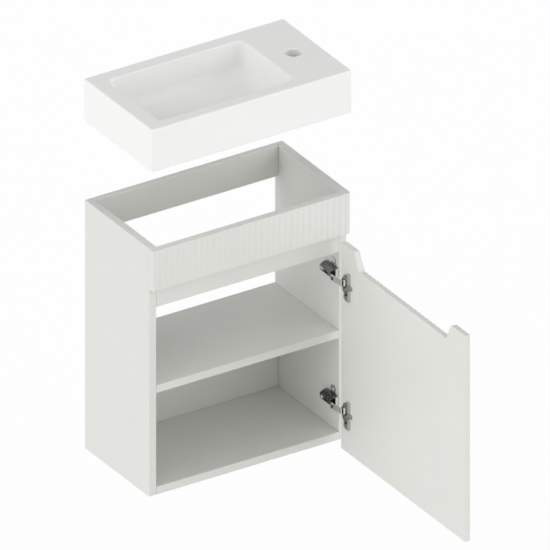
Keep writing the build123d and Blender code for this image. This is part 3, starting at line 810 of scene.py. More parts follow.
@dataclass
class RibbedFront:
    """A board with upright ribs on its front, soft edges, and a cut-out in its top edge. Millimetres."""

    name: str
    body: Body
    node: str
    origin: tuple[float, float, float]
    turn: float
    width: float
    height: float
    thickness: float
    cut_depth: float = 0.0
    cut_near_top: float = 0.0
    cut_near_bottom: float = 1.0
    cut_far_bottom: float = 2.0
    cut_far_top: float = 3.0
    cut_softness: float = 0.0
    rib_pitch: float = 12.12
    rib_rise: float = 1.3
    valley_softness: float = 0.35
    front_round: float = 2.4
    back_round: float = 1.0
    steps: int = 16
    end_steps: int = 6
    rows: int = 25

    def sizes(self, plan: NodePlan) -> dict[str, Socket]:
        """Gives the tree one named input for each size of the board.

        Args:
            plan: The tree.

        Returns:
            The inputs' sockets, under the names of this class's fields, and the number of ribs.
        """
        lengths = (
            "width",
            "height",
            "thickness",
            "cut_depth",
            "cut_near_top",
            "cut_near_bottom",
            "cut_far_bottom",
            "cut_far_top",
            "cut_softness",
            "rib_rise",
            "valley_softness",
            "front_round",
            "back_round",
        )
        values = {name: ("Float", getattr(self, name) * MM) for name in lengths}
        values |= {name: ("Int", getattr(self, name)) for name in ("steps", "end_steps", "rows")}
        values["rib_count"] = ("Int", round(self.width / self.rib_pitch))
        return {name: plan.given(name.replace("_", " ").title(), *value) for name, value in values.items()}

    def laid_across(self, plan: NodePlan, size: dict[str, Socket], across: Socket) -> tuple[Socket, Socket]:
        """Lays out the columns: close where an end rounds over, then even steps that meet each valley.

        Args:
            plan: The tree.
            size: The board's sizes.
            across: The grid's place from end to end, from -1 to 1.

        Returns:
            How far across each column lies, and how far it lies from the nearest end.
        """
        steps = size["steps"]
        end_steps = size["end_steps"]
        front_round = size["front_round"]
        pitch = plan.over(size["width"], size["rib_count"])
        columns = plan.times(size["rib_count"], steps)
        from_end = plan.times(plan.minus(1.0, plan.maths("ABSOLUTE", across)), plan.times(columns, 0.5))
        turned = plan.times(plan.over(from_end, end_steps), math.pi / 2)
        in_round = plan.times(front_round, plan.minus(1.0, plan.maths("COSINE", turned)))
        beyond = plan.over(plan.minus(from_end, end_steps), plan.minus(steps, end_steps))
        in_first = plan.plus(front_round, plan.times(plan.minus(pitch, front_round), beyond))
        even = plan.times(pitch, plan.over(from_end, steps))
        in_first_rib = plan.chosen(plan.less(from_end, end_steps), in_first, in_round)
        end_gap = plan.chosen(plan.less(from_end, steps), even, in_first_rib)
        half = plan.times(size["width"], 0.5)
        return plan.times(plan.maths("SIGN", across), plan.minus(half, end_gap)), end_gap

    def top_edge(self, plan: NodePlan, size: dict[str, Socket], x: Socket) -> Socket:
        """Works out the top edge, with its cut-out measured from the hinge edge.

        Args:
            plan: The tree.
            size: The board's sizes.
            x: How far across each column lies.

        Returns:
            The height of the top edge.
        """
        height = size["height"]
        depth = size["cut_depth"]
        far_top = size["cut_far_top"]
        near_top = size["cut_near_top"]
        from_hinge = plan.minus(plan.times(size["width"], 0.5), x)
        near_run = plan.minus(size["cut_near_bottom"], near_top)
        near_slope = plan.over(plan.minus(from_hinge, near_top), near_run)
        far_run = plan.minus(far_top, size["cut_far_bottom"])
        far_slope = plan.over(plan.minus(far_top, from_hinge), far_run)
        share = plan.maths("MINIMUM", near_slope, far_slope)
        notch = plan.minus(height, plan.times(depth, share))
        valley = plan.maths("SMOOTH_MAX", notch, plan.minus(height, depth), size["cut_softness"])
        return plan.maths("SMOOTH_MIN", valley, height, size["cut_softness"])

    def laid_up(
        self, plan: NodePlan, size: dict[str, Socket], top: Socket, up: Socket
    ) -> tuple[Socket, Socket]:
        """Lays out the rows, with as many in each rounded edge as the columns have.

        Args:
            plan: The tree.
            size: The board's sizes.
            top: The height of the top edge.
            up: The grid's place from bottom to top, from -1 to 1.

        Returns:
            How high each row lies, and how far it lies from the nearest edge.
        """
        end_steps = size["end_steps"]
        front_round = size["front_round"]
        from_edge = plan.minus(1.0, plan.maths("ABSOLUTE", up))
        row_gap = plan.over(2.0, plan.minus(size["rows"], 1.0))
        rows_in = plan.over(from_edge, row_gap)
        turned = plan.times(plan.over(rows_in, end_steps), math.pi / 2)
        in_round = plan.times(front_round, plan.minus(1.0, plan.maths("COSINE", turned)))
        middle_rows = plan.minus(plan.over(1.0, row_gap), end_steps)
        half_height = plan.minus(plan.times(top, 0.5), front_round)
        beyond = plan.over(plan.minus(rows_in, end_steps), middle_rows)
        even = plan.plus(front_round, plan.times(half_height, beyond))
        edge_gap = plan.chosen(plan.less(rows_in, end_steps), even, in_round)
        return plan.chosen(plan.less(up, 0.0), plan.minus(top, edge_gap), edge_gap), edge_gap

    def crest(self, plan: NodePlan, size: dict[str, Socket], x: Socket) -> Socket:
        """Works out how far the ribs stand in front of the back.

        Args:
            plan: The tree.
            size: The board's sizes.
            x: How far across each column lies.

        Returns:
            The ribs' height over the back.
        """
        softness = size["valley_softness"]
        half = plan.times(size["width"], 0.5)
        pitch = plan.over(size["width"], size["rib_count"])
        phase = plan.maths("FRACT", plan.over(plan.plus(plan.plus(x, half), PHASE_NUDGE), pitch))
        swing = plan.minus(plan.times(phase, 2.0), 1.0)
        hump = plan.times(size["rib_rise"], plan.minus(1.0, plan.times(swing, swing)))
        rib = plan.maths("SMOOTH_MAX", hump, plan.times(softness, 0.5), softness)
        crest = plan.plus(plan.minus(size["thickness"], size["rib_rise"]), rib)
        return plan.maths("MINIMUM", crest, size["thickness"])

    def drawn_in(self, plan: NodePlan, radius: Socket, gaps: tuple[Socket, Socket]) -> Socket:
        """Works out how far a round draws the surface in.

        Args:
            plan: The tree.
            radius: The round's radius.
            gaps: How far the nearest end and edge are.

        Returns:
            The larger of what is drawn in at both.
        """
        drops = []
        for gap in gaps:
            share_in = plan.over(plan.minus(radius, gap), radius)
            held = plan.maths("MAXIMUM", plan.maths("MINIMUM", share_in, 1.0), 0.0)
            rest = plan.maths("SQRT", plan.minus(1.0, plan.times(held, held)))
            drops.append(plan.times(radius, plan.minus(1.0, rest)))
        return plan.maths("MAXIMUM", *drops)

    def plan(self, material: bpy.types.Material) -> NodePlan:
        """Lays out the tree that makes the board.

        Args:
            material: Its finish.

        Returns:
            The tree, with its inputs named.
        """
        plan = NodePlan("ribbed front " + self.name)
        size = self.sizes(plan)
        place = plan.given("Place", "Vector", [value * MM for value in self.origin])
        turn = plan.given("Turn", "Vector", (0.0, 0.0, math.radians(self.turn)))
        finish = plan.given("Finish", "Material", material)
        grid = plan.node(
            "GeometryNodeMeshGrid",
            Size_X=2.0,
            Size_Y=2.0,
            Vertices_X=plan.plus(plan.times(size["rib_count"], size["steps"]), 1.0),
            Vertices_Y=size["rows"],
        )
        where = plan.node("GeometryNodeInputPosition")
        split = plan.node("ShaderNodeSeparateXYZ", Vector=where.outputs["Position"])
        x, end_gap = self.laid_across(plan, size, split.outputs["X"])
        z, edge_gap = self.laid_up(plan, size, self.top_edge(plan, size, x), split.outputs["Y"])
        gaps = (end_gap, edge_gap)
        front_y = plan.minus(self.drawn_in(plan, size["front_round"], gaps), self.crest(plan, size, x))
        back_y = plan.times(self.drawn_in(plan, size["back_round"], gaps), -1.0)

        # The grid becomes the back, and its extruded copy the front, worked out before the extrusion
        laid = plan.node("GeometryNodeCaptureAttribute")
        laid.capture_items.new("FLOAT", "front")
        plan.tree.links.new(grid.outputs["Mesh"], laid.inputs["Geometry"])
        plan.tree.links.new(front_y, laid.inputs["front"])
        back_place = plan.node("ShaderNodeCombineXYZ", X=x, Y=back_y, Z=z).outputs["Vector"]
        back = plan.node("GeometryNodeSetPosition", Geometry=laid.outputs["Geometry"], Position=back_place)
        lifted = plan.node(
            "GeometryNodeExtrudeMesh",
            {"mode": "FACES"},
            Mesh=back.outputs["Geometry"],
            Offset=(0.0, -1.0, 0.0),
            Offset_Scale=MM,
            Individual=False,
        )
        now = plan.node("ShaderNodeSeparateXYZ", Vector=where.outputs["Position"]).outputs
        front_place = plan.node("ShaderNodeCombineXYZ", X=now["X"], Y=laid.outputs["front"], Z=now["Z"])
        front = plan.node(
            "GeometryNodeSetPosition",
            Geometry=lifted.outputs["Mesh"],
            Selection=lifted.outputs["Top"],
            Position=front_place.outputs["Vector"],
        )
        turned_back = plan.node("GeometryNodeFlipFaces", Mesh=back.outputs["Geometry"])
        both = plan.node("GeometryNodeJoinGeometry")
        plan.tree.links.new(front.outputs["Geometry"], both.inputs["Geometry"])
        plan.tree.links.new(turned_back.outputs["Mesh"], both.inputs["Geometry"])
        merged = plan.node(
            "GeometryNodeMergeByDistance", Geometry=both.outputs["Geometry"], Distance=WELD_DISTANCE
        )
        placed = plan.node(
            "GeometryNodeTransform", Geometry=merged.outputs["Geometry"], Translation=place, Rotation=turn
        )
        plan.close(placed.outputs["Geometry"], finish)
        return plan

    def build(self, palette: Palette, bores: list[bpy.types.Object]) -> bpy.types.Object:
        """Makes the board, bores it and ties it to the frame.

        Args:
            palette: The finishes.
            bores: What is bored out of it, as scratch objects.

        Returns:
            The finished piece.
        """
        piece = carved(self.plan(palette.lacquer).grown(self.name), bores)
        return settled(smoothed(piece), self.body, (self.node,))


@dataclass
class Basin:
    """The moulded basin: bowl on the left, tap deck on the right, hollow under the deck. Millimetres."""

    outer_round: float = 3.5
    foot_round: float = 1.5
    left_rim: float = 29.8
    rear_rim: float = 27.4
    front_rim: float = 24.0
    tap_deck: float = 101.0
    bowl_depth: float = 60.0
    bowl_corner: float = 14.0
    draft: float = 7.0
    floor_round: float = 20.0
    corner_growth: float = 0.12
    floor_fall: float = 1.5
    lip_round: float = 3.0
    tap_radius: float = 14.0
    tap_round: float = 1.5
    tap_from_right: float = 51.2
    tap_from_rear: float = 113.0
    waste_radius: float = 22.5
    waste_from_rear: float = 125.0
    deck_thickness: float = 15.0
    deck_wall: float = 12.0
    pocket_corner: float = 8.0
    seat_margin: float = 7.0
    seat_lip: float = 1.0
    seat_drop: float = 1.5
    seat_depth: float = 2.5
    least_round: float = 0.05
    corner_steps: int = 10
    ring_count: int = field(init=False)
    low: Vector = field(init=False)
    high: Vector = field(init=False)
    ceiling: float = field(init=False)

    def __post_init__(self) -> None:
        """Takes the outer corners from the frame."""
        low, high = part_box("basin")
        self.low = low / MM
        self.high = high / MM
        self.ceiling = self.high.z - self.deck_thickness
        self.ring_count = 4 * (self.corner_steps + 1)

    def outside(self) -> list[Ring]:
        """Works out the outer wall.

        Returns:
            Its rings, from the underside up to the deck.
        """
        rings = []
        steps = self.corner_steps
        for step in range(steps + 1):
            angle = math.radians(90.0 * step / steps)
            inset = self.foot_round * (1 - math.sin(angle))
            z = self.low.z + self.foot_round * (1 - math.cos(angle))
            rings.append(self.inset_ring(inset, z))
        for step in range(steps + 1):
            angle = math.radians(90.0 * step / steps)
            inset = self.outer_round * (1 - math.cos(angle))
            z = self.high.z - self.outer_round * (1 - math.sin(angle))
            rings.append(self.inset_ring(inset, z))
        return rings

    def inset_ring(self, inset: float, z: float) -> Ring:
        """The outer outline at one height.

        Args:
            inset: How far it is drawn in.
            z: The height.

        Returns:
            Its points.
        """
        step_in = Vector((inset, inset, 0.0))
        corner = max(self.outer_round - inset, self.least_round)
        return rounded_ring(self.low + step_in, self.high - step_in, corner, z, self.corner_steps)

    def bowl(self) -> list[Ring]:
        """Works out the bowl: a rounded lip, a slanting wall and a wide round into the floor.

        Returns:
            Its rings, from the deck down to the floor.
        """
        draft = math.radians(self.draft)
        turn = math.pi / 2 - draft
        steps = self.corner_steps
        lip_depth = self.lip_round * (1 - math.cos(turn))
        lip_end = self.lip_round * (1 - math.sin(turn))
        profile = []
        for step in range(steps + 1):
            angle = turn * step / steps
            inset = lip_end - self.lip_round * (1 - math.sin(angle)) + lip_depth * math.tan(draft)
            profile.append((inset, self.lip_round * (1 - math.cos(angle))))
        wall_end = self.bowl_depth - self.floor_round + self.floor_round * math.sin(draft)
        centre_in = wall_end * math.tan(draft) + self.floor_round * math.cos(draft)
        centre_down = self.bowl_depth - self.floor_round
        for step in range(steps + 1):
            angle = draft + turn * step / steps
            inset = centre_in - self.floor_round * math.cos(angle)
            profile.append((inset, centre_down + self.floor_round * math.sin(angle)))
        return [self.bowl_ring(inset, down) for inset, down in profile]

    def bowl_ring(self, inset: float, down: float) -> Ring:
        """The bowl's outline at some depth.

        Args:
            inset: How far it is drawn in.
            down: How far it lies below the deck.

        Returns:
            Its points.
        """
        low = Vector((self.low.x + self.left_rim + inset, self.low.y + self.front_rim + inset, 0.0))
        high = Vector((self.high.x - self.tap_deck - inset, self.high.y - self.rear_rim - inset, 0.0))
        corner = self.bowl_corner + inset + down * self.corner_growth
        return rounded_ring(low, high, corner, self.high.z - down, self.corner_steps)

    def seat(self, floor_z: float) -> list[Ring]:
        """The waste hole's sunk seat and bore.

        Args:
            floor_z: The height of the bowl's floor at its edge.

        Returns:
            Its rings, from the floor down to the underside.
        """
        x = (self.low.x + self.left_rim + self.high.x - self.tap_deck) / 2
        y = self.high.y - self.waste_from_rear
        sink = floor_z - self.floor_fall
        steps = (
            (self.seat_margin, sink),
            (self.seat_lip, sink - self.seat_drop),
            (0.0, sink - self.seat_depth),
            (0.0, self.low.z),
        )
        return [round_ring(x, y, self.waste_radius + wider, z, self.ring_count) for wider, z in steps]

    def tap(self) -> list[Ring]:
        """Works out the tap hole.

        Returns:
            Its rings, from its rounded edge down to the deck's underside.
        """
        x = self.high.x - self.tap_from_right
        y = self.high.y - self.tap_from_rear
        rings = []
        for step in range(self.corner_steps + 1):
            angle = math.radians(90.0 * step / self.corner_steps)
            radius = self.tap_radius + self.tap_round * (1 - math.sin(angle))
            z = self.high.z - self.tap_round * (1 - math.cos(angle))
            rings.append(round_ring(x, y, radius, z, self.ring_count))
        rings.append(round_ring(x, y, self.tap_radius, self.ceiling, self.ring_count))
        return rings

    def pocket(self) -> list[Ring]:
        """Works out the hollow under the deck.

        Returns:
            Its rings, from the underside up to its ceiling.
        """
        low = Vector((self.high.x - self.tap_deck + self.deck_wall, self.low.y + self.deck_wall, 0.0))
        high = Vector((self.high.x - self.deck_wall, self.high.y - self.deck_wall, 0.0))
        heights = (self.low.z, self.ceiling)
        return [rounded_ring(low, high, self.pocket_corner, z, self.corner_steps) for z in heights]

    def build(self, palette: Palette) -> bpy.types.Object:
        """Makes the basin and ties it to the frame.

        Args:
            palette: The finishes.

        Returns:
            The finished piece.
        """
        shape = bmesh.new()
        bowl_rings = self.bowl()
        outside = skin(shape, self.outside())
        bowl = skin(shape, bowl_rings + self.seat(bowl_rings[-1][0].z))
        tap = skin(shape, self.tap())
        pocket = skin(shape, self.pocket())
        filled(shape, outside[-1], bowl[0], tap[0])
        filled(shape, outside[0], bowl[-1], pocket[0])
        filled(shape, pocket[-1], tap[-1])
        piece = piece_from("moulded_basin", shape, palette.basin)
        return settled(smoothed(piece), Body.BASIN, ("basin",))


@dataclass
class Carcass:
    """The boards and what joins them."""

    boards: tuple[str, ...] = (
        "side_panel_left",
        "side_panel_right",
        "bottom_panel",
        "fixed_shelf",
        "lower_back_panel",
        "back_rail",
        "front_rail",
    )

    def build(self, palette: Palette) -> None:
        """Dresses the boards and their fittings.

        Args:
            palette: The finishes.
        """
        for node in self.boards:
            dressed(node, palette.lacquer)
        dressed("carcass_dowels", palette.beech)
        dressed("cam_locks", palette.casting)
        for node in ("cam_bolts", "fascia_screws"):
            dressed(node, palette.zinc)


@dataclass(frozen=True)
class ScrewSize:
    """One kind of screw: its head's diameter and rise, and its shank's diameter and length. Millimetres."""

    head: float
    rise: float
    shank: float
    length: float


@dataclass
class ScrewSet:
    """Screws of one kind, with domed heads that face left and a cross recess. Millimetres."""

    name: str
    seats: list[tuple[float, float, float]]
    size: ScrewSize
    recess_length: float = 0.62
    recess_width: float = 0.17
    recess_depth: float = 0.6
    head_below_seat: float = 0.08
    shank_drop: float = 0.49
    facing: tuple[float, float, float] = (0.3, math.radians(-90.0), 0.0)
    sides: int = 28
    rings: int = 12

    def head(self, plan: NodePlan, radius: Socket, height: Socket) -> Socket:
        """Adds the domed head.

        Args:
            plan: The tree.
            radius: The head's radius.
            height: The head's height.

        Returns:
            Its geometry.
        """
        ball = plan.node("GeometryNodeMeshUVSphere", Segments=self.sides, Rings=self.rings, Radius=1.0)
        where = plan.node("GeometryNodeInputPosition")
        split = plan.node("ShaderNodeSeparateXYZ", Vector=where.outputs["Position"]).outputs
        domed = plan.node(
            "ShaderNodeCombineXYZ",
            X=plan.times(split["X"], radius),
            Y=plan.times(split["Y"], radius),
            Z=plan.times(plan.maths("MAXIMUM", split["Z"], -self.head_below_seat), height),
        )
        head = plan.node(
            "GeometryNodeSetPosition", Geometry=ball.outputs["Mesh"], Position=domed.outputs["Vector"]
        )
        return head.outputs["Geometry"]

    def shank(self, plan: NodePlan, radius: Socket, length: Socket) -> Socket:
        """Adds the shank below the head.

        Args:
            plan: The tree.
            radius: The shank's radius.
            length: The shank's length.

        Returns:
            Its geometry.
        """
        shank = plan.node("GeometryNodeMeshCylinder", Vertices=self.sides, Radius=radius, Depth=length)
        down = plan.node("ShaderNodeCombineXYZ", Z=plan.times(length, -self.shank_drop))
        sunk = plan.node(
            "GeometryNodeTransform", Geometry=shank.outputs["Mesh"], Translation=down.outputs["Vector"]
        )
        return sunk.outputs["Geometry"]

    def plan(self, material: bpy.types.Material) -> NodePlan:
        """Lays out the tree that puts a screw on every seat.

        Args:
            material: Their finish.

        Returns:
            The tree, with its inputs named.
        """
        plan = NodePlan("screws " + self.name)
        radius = plan.given("Head Radius", "Float", self.size.head / 2 * MM)
        height = plan.given("Head Height", "Float", self.size.rise * MM)
        shank_radius = plan.given("Shank Radius", "Float", self.size.shank / 2 * MM)
        shank_length = plan.given("Shank Length", "Float", self.size.length * MM)
        recess_length = plan.given("Recess Length", "Float", self.recess_length * self.size.head * MM)
        recess_width = plan.given("Recess Width", "Float", self.recess_width * self.size.head * MM)
        recess_depth = plan.given("Recess Depth", "Float", self.recess_depth * self.size.rise * MM)
        finish = plan.given("Finish", "Material", material)
        facing = plan.given("Facing", "Vector", self.facing)
        whole = plan.node("GeometryNodeMeshBoolean", {"operation": "UNION", "solver": "EXACT"})
        plan.tree.links.new(self.head(plan, radius, height), whole.inputs["Mesh 2"])
        plan.tree.links.new(self.shank(plan, shank_radius, shank_length), whole.inputs["Mesh 2"])
        crossed = plan.node("GeometryNodeMeshBoolean", {"operation": "DIFFERENCE", "solver": "EXACT"})
        plan.tree.links.new(whole.outputs["Mesh"], crossed.inputs["Mesh 1"])
        up = plan.node("ShaderNodeCombineXYZ", Z=height)
        for along, across in ((recess_length, recess_width), (recess_width, recess_length)):
            bar_size = plan.node("ShaderNodeCombineXYZ", X=along, Y=across, Z=plan.times(recess_depth, 2.0))
            bar = plan.node("GeometryNodeMeshCube", Size=bar_size.outputs["Vector"])
            raised = plan.node(
                "GeometryNodeTransform", Geometry=bar.outputs["Mesh"], Translation=up.outputs["Vector"]
            )
            plan.tree.links.new(raised.outputs["Geometry"], crossed.inputs["Mesh 2"])
        screws = plan.node(
            "GeometryNodeInstanceOnPoints",
            Points=plan.entry.outputs["Geometry"],
            Instance=crossed.outputs["Mesh"],
            Rotation=facing,
        )
        plan.close(screws.outputs["Instances"], finish)
        return plan

    def build(self, material: bpy.types.Material, body: Body, node: str) -> None:
        """Makes the screws and ties them to the frame.

        Args:
            material: Their finish.
            body: What they ride on.
            node: The frame's node that they stand for.
        """
        seats = bpy.data.meshes.new(self.name)
        seats.from_pydata([Vector(seat) * MM for seat in self.seats], [], [])
        piece = self.plan(material).grown(self.name, seats)
        settled(smoothed(piece, METAL_ANGLE), body, (node,))


@dataclass
class HingeCup:
    """One cup: its flange on the door, its raised housing, and the ears that hold its pin. Millimetres."""

    level: Level
    inner_face: float
    hinge_edge: float
    middle: float
    flange_thickness: float = 1.2
    flange_near: float = 4.0
    flange_far: float = 30.3
    flange_height: float = 53.0
    housing_near: float = 16.5
    housing_rise: float = 5.5
    housing_wall: float = 1.1
    from_edge: float = 20.5
    radius: float = 17.4
    depth: float = 9.4
    wall: float = 0.5
    notch_far: float = 8.0
    notch_depth: float = 1.5
    tongue_slot: float = 4.7
    tunnel_half: float = 6.7
    tunnel_near: float = 27.8
    tunnel_far: float = 36.4
    tunnel_roof: float = 1.5
    ear_near: float = 4.6
    ear_far: float = 9.0
    ear_inner: float = 6.2
    ear_outer: float = 7.8
    ear_sunk: float = 0.8
    screw_from_edge: float = 24.0
    screw_reach: float = 22.0
    screw_well: float = 3.4
    screw_bore: float = 1.85
    screw_bore_depth: float = 8.0
    bore_clearance: float = 0.1
    overlap: float = 1.0
    clear: float = 20.0
    clear_height: float = 40.0
    edge_softness: float = 0.35
    steps: int = 24

    def in_door(self, outline: Outline, out: float, deep: float) -> bpy.types.Object:
        """A prism that stands on the door's inner face.

        Args:
            outline: Its corners: how far from the hinge edge, and how far above the hinge's middle.
            out: How far it stands out of the face.
            deep: How far it goes into the face.

        Returns:
            The prism, as a scratch object.
        """
        near = [Vector((self.inner_face - out, self.hinge_edge - u, self.middle + z)) for u, z in outline]
        far = [Vector((self.inner_face + deep, point.y, point.z)) for point in near]
        return prism(near, far)

    def flange_outline(self) -> Outline:
        """Works out the flange: an arc towards the hinge edge, and a straight far side.

        Returns:
            Its corners.
        """
        half = self.flange_height / 2
        sag = self.flange_far - self.flange_near
        radius = (half * half + sag * sag) / (2 * sag)
        centre = self.flange_near + radius
        reach = math.atan2(half, self.flange_far - centre)
        points = []
        for step in range(self.steps + 1):
            angle = reach + (2 * math.pi - 2 * reach) * step / self.steps
            u = min(centre + radius * math.cos(angle), self.flange_far)
            points.append((u, radius * math.sin(angle)))
        return points

    def bowl_outline(self, grow: float = 0.0) -> Outline:
        """The cup's outline: round, with a flat far side.

        Args:
            grow: How much larger it is all round.

        Returns:
            Its corners.
        """
        radius = self.radius + grow
        flat = self.flange_far - self.housing_wall + grow
        reach = math.acos((flat - self.from_edge) / radius)
        points = []
        for step in range(self.steps + 1):
            angle = reach + (2 * math.pi - 2 * reach) * step / self.steps
            points.append((self.from_edge + radius * math.cos(angle), radius * math.sin(angle)))
        return points

    def box_outline(self, near: float, far: float, half: float) -> Outline:
        """A rectangle between two distances from the hinge edge."""
        return [(near, -half), (far, -half), (far, half), (near, half)]

    def ring_outline(self, radius: float, side: int) -> Outline:
        """A circle round one of the two cup screws.

        Args:
            radius: Its radius.
            side: Which screw: -1 for the lower, 1 for the upper.

        Returns:
            Its corners.
        """
        angles = [2 * math.pi * step / self.steps for step in range(self.steps)]
        u, z = self.screw_from_edge, side * self.screw_reach
        return [(u + radius * math.cos(angle), z + radius * math.sin(angle)) for angle in angles]

    def tunnel(self) -> list[bpy.types.Object]:
        """Makes the narrow slot, wider inside, that the arm's tongue enters when the door is closed.

        Returns:
            Its mouth and its inside, as scratch objects.
        """
        deep = self.depth - self.wall
        mouth = self.box_outline(self.tunnel_near, self.tunnel_far, self.tongue_slot)
        inside = self.box_outline(self.tunnel_near, self.tunnel_far, self.tunnel_half)
        return [self.in_door(mouth, self.clear, deep), self.in_door(inside, -self.tunnel_roof, deep)]

    def bores(self) -> list[bpy.types.Object]:
        """Makes what the cup needs bored out of the door.

        Returns:
            The scratch objects.
        """
        cup = self.bowl_outline(self.bore_clearance)
        tools = [self.in_door(cup, self.overlap, self.depth + self.bore_clearance), *self.tunnel()]
        for side in SIDES:
            screw = self.ring_outline(self.screw_bore, side)
            tools.append(self.in_door(screw, self.overlap, self.screw_bore_depth))
        return tools

    def ear(self, side: int) -> bpy.types.Object:
        """Makes one of the two ears that hold the cup's pin.

        Args:
            side: Which ear: -1 for the lower, 1 for the upper.

        Returns:
            The ear, as a scratch object.
        """
        near, far = self.ear_near, self.ear_far
        inner, outer = side * self.ear_inner, side * self.ear_outer
        outline = [(near, inner), (far, inner), (far, outer), (near, outer)]
        return self.in_door(outline, -self.ear_sunk, self.depth - self.wall / 2)

    def screw_seats(self) -> list[tuple[float, float, float]]:
        """Works out where the heads of the cup's two screws sit.

        Returns:
            Their places.
        """
        x = self.inner_face - self.flange_thickness
        y = self.hinge_edge - self.screw_from_edge
        return [(x, y, self.middle + side * self.screw_reach) for side in SIDES]

    def build(self, palette: Palette) -> None:
        """Makes the cup and ties it to the frame.

        Args:
            palette: The finishes.
        """
        flange = self.in_door(self.flange_outline(), self.flange_thickness, 0.0)
        housing = self.in_door(self.flange_outline(), self.housing_rise, 0.0)
        near_part = self.box_outline(0.0, self.housing_near, self.clear_height)
        in_front = self.in_door(near_part, self.clear, self.clear)
        shell = self.in_door(self.bowl_outline(), self.flange_thickness / 2, self.depth)
        hollow = self.in_door(self.bowl_outline(-self.wall), self.clear, self.depth - self.wall)
        link_side = self.box_outline(0.0, self.notch_far, self.tunnel_half)
        notch = self.in_door(link_side, self.clear, self.notch_depth)
        cup = joined(flange, [carved(housing, [in_front]), shell])
        wells = [
            self.in_door(self.ring_outline(self.screw_well, side), self.clear, -self.flange_thickness)
            for side in SIDES
        ]
        cup = carved(cup, [hollow, notch, *self.tunnel(), *wells])
        cup.name = f"{self.level.value}_cup_with_flange"
        cup = joined(cup, [self.ear(side) for side in SIDES])
        finish_metal(cup, palette.nickel, self.edge_softness)
        settled(cup, Body.DOOR, (f"{self.level.value}_hinge_cup",))


@dataclass
class HingeArm:
    """One arm: a pressed channel over the plate, and its tongue forward to the pin. Millimetres."""

    level: Level
    pin: Vector
    middle: float
    rear: float = -167.0
    front: float = -202.6
    face: float = 169.0
    lip: float = 183.0
    sheet: float = 1.2
    outside: Profile = ((0.0, 4.3), (0.5, 5.1), (3.2, 6.7), (8.0, 9.2))
    inside: Profile = ((0.0, 3.8), (0.4, 4.3), (3.0, 6.0), (7.2, 8.0))
    outside_lip: float = 9.7
    inside_lip: float = 8.4
    sections: tuple[tuple[float, float, float], ...] = (
        (0.0, 0.86, 2.2),
        (1.2, 0.92, 1.0),
        (3.2, 0.97, 0.3),
        (7.0, 1.0, 0.0),
        (30.0, 1.0, 0.0),
        (35.6, 1.0, 0.4),
    )
    tongue_half: float = 3.8
    tongue_depth: float = 5.4
    tongue_root: float = 5.0
    tongue_step: float = 0.3
    eye_radius: float = 2.0
    eye_shoulder: float = 1.6
    eye_fall: float = 1.5
    fixing_screw_y: float = -176.0
    adjusting_screw_y: float = -190.0
    adjusting_screw_depth: float = 3.4
    adjusting_slot: tuple[float, float] = (4.4, 2.9)
    fixing_slot: tuple[float, float] = (3.4, 2.2)
    slot_depth: float = 3.0
    slot_overlap: float = 2.0
    edge_softness: float = 0.35

    def section(self, along: float, spread: float, sunk: float) -> Ring:
        """One section of the channel, which is open towards the side board.

        Args:
            along: How far in front of the rear end the section lies.
            spread: How wide it is there, as a share of its full width.
            sunk: How far its face stands back there.

        Returns:
            The closed loop of its outer and inner line.
        """
        face = self.face + sunk
        lines = []
        for profile, start, lip in (
            (self.outside, face, self.outside_lip),
            (self.inside, face + self.sheet, self.inside_lip),
        ):
            half = [(start + back, z) for back, z in profile] + [(self.lip, lip)]
            lines.append([(x, -z) for x, z in reversed(half)] + half)
        outer, inner = lines
        return [Vector((x, self.rear - along, self.middle + z * spread)) for x, z in outer + inner[::-1]]

    def tongue(self) -> bpy.types.Object:
        """Makes the tongue, with its eye round the pin.

        Returns:
            The tongue, as a scratch object.
        """
        pin = self.pin
        back = self.face + self.tongue_depth
        root = self.front + self.tongue_root
        outline = [
            (self.face, self.front),
            (pin.x - self.eye_radius, pin.y + self.eye_radius / 2),
            (pin.x - self.eye_shoulder, pin.y - self.eye_fall),
            (pin.x, pin.y - self.eye_radius),
            (pin.x + self.eye_shoulder, pin.y - self.eye_fall),
            (pin.x + self.eye_radius, pin.y + self.eye_radius / 5),
            (back, self.front),
            (back, root),
            (self.face + self.tongue_step, root),
        ]
        low = [Vector((x, y, self.middle - self.tongue_half)) for x, y in outline]
        high = [Vector((x, y, self.middle + self.tongue_half)) for x, y in outline]
        return prism(low, high)

    def slot(self, y: float, half_length: float, half_width: float) -> bpy.types.Object:
        """Makes what a slot takes out of the face.

        Args:
            y: Where its middle lies.
            half_length: Half its length.
            half_width: Half its width.

        Returns:
            The scratch object.
        """
        corners = [
            (y + step * half_length, self.middle + side * half_width)
            for step, side in ((-1, -1), (1, -1), (1, 1), (-1, 1))
        ]
        outer = [Vector((self.face - self.slot_overlap, *corner)) for corner in corners]
        inner = [Vector((self.face + self.slot_depth, *corner)) for corner in corners]
        return prism(outer, inner)

    def build(self, palette: Palette) -> None:
        """Makes the arm and ties it to the frame.

        Args:
            palette: The finishes.
        """
        shape = bmesh.new()
        made = skin(shape, [self.section(*values) for values in self.sections])
        filled(shape, made[0])
        filled(shape, made[-1])
        # The arm's dark nickel is painted shade: its colour stands in for the dark reflections on the plated
        # channel.
        channel = piece_from(f"{self.level.value}_arm_channel", shape, palette.dark_nickel)
        channel = joined(channel, [self.tongue()])
        slots = [
            self.slot(self.adjusting_screw_y, *self.adjusting_slot),
            self.slot(self.fixing_screw_y, *self.fixing_slot),
        ]
        channel = carved(channel, slots)
        finish_metal(channel, palette.dark_nickel, self.edge_softness)
        settled(channel, Body.CARCASS, (f"{self.level.value}_hinge_arm",))


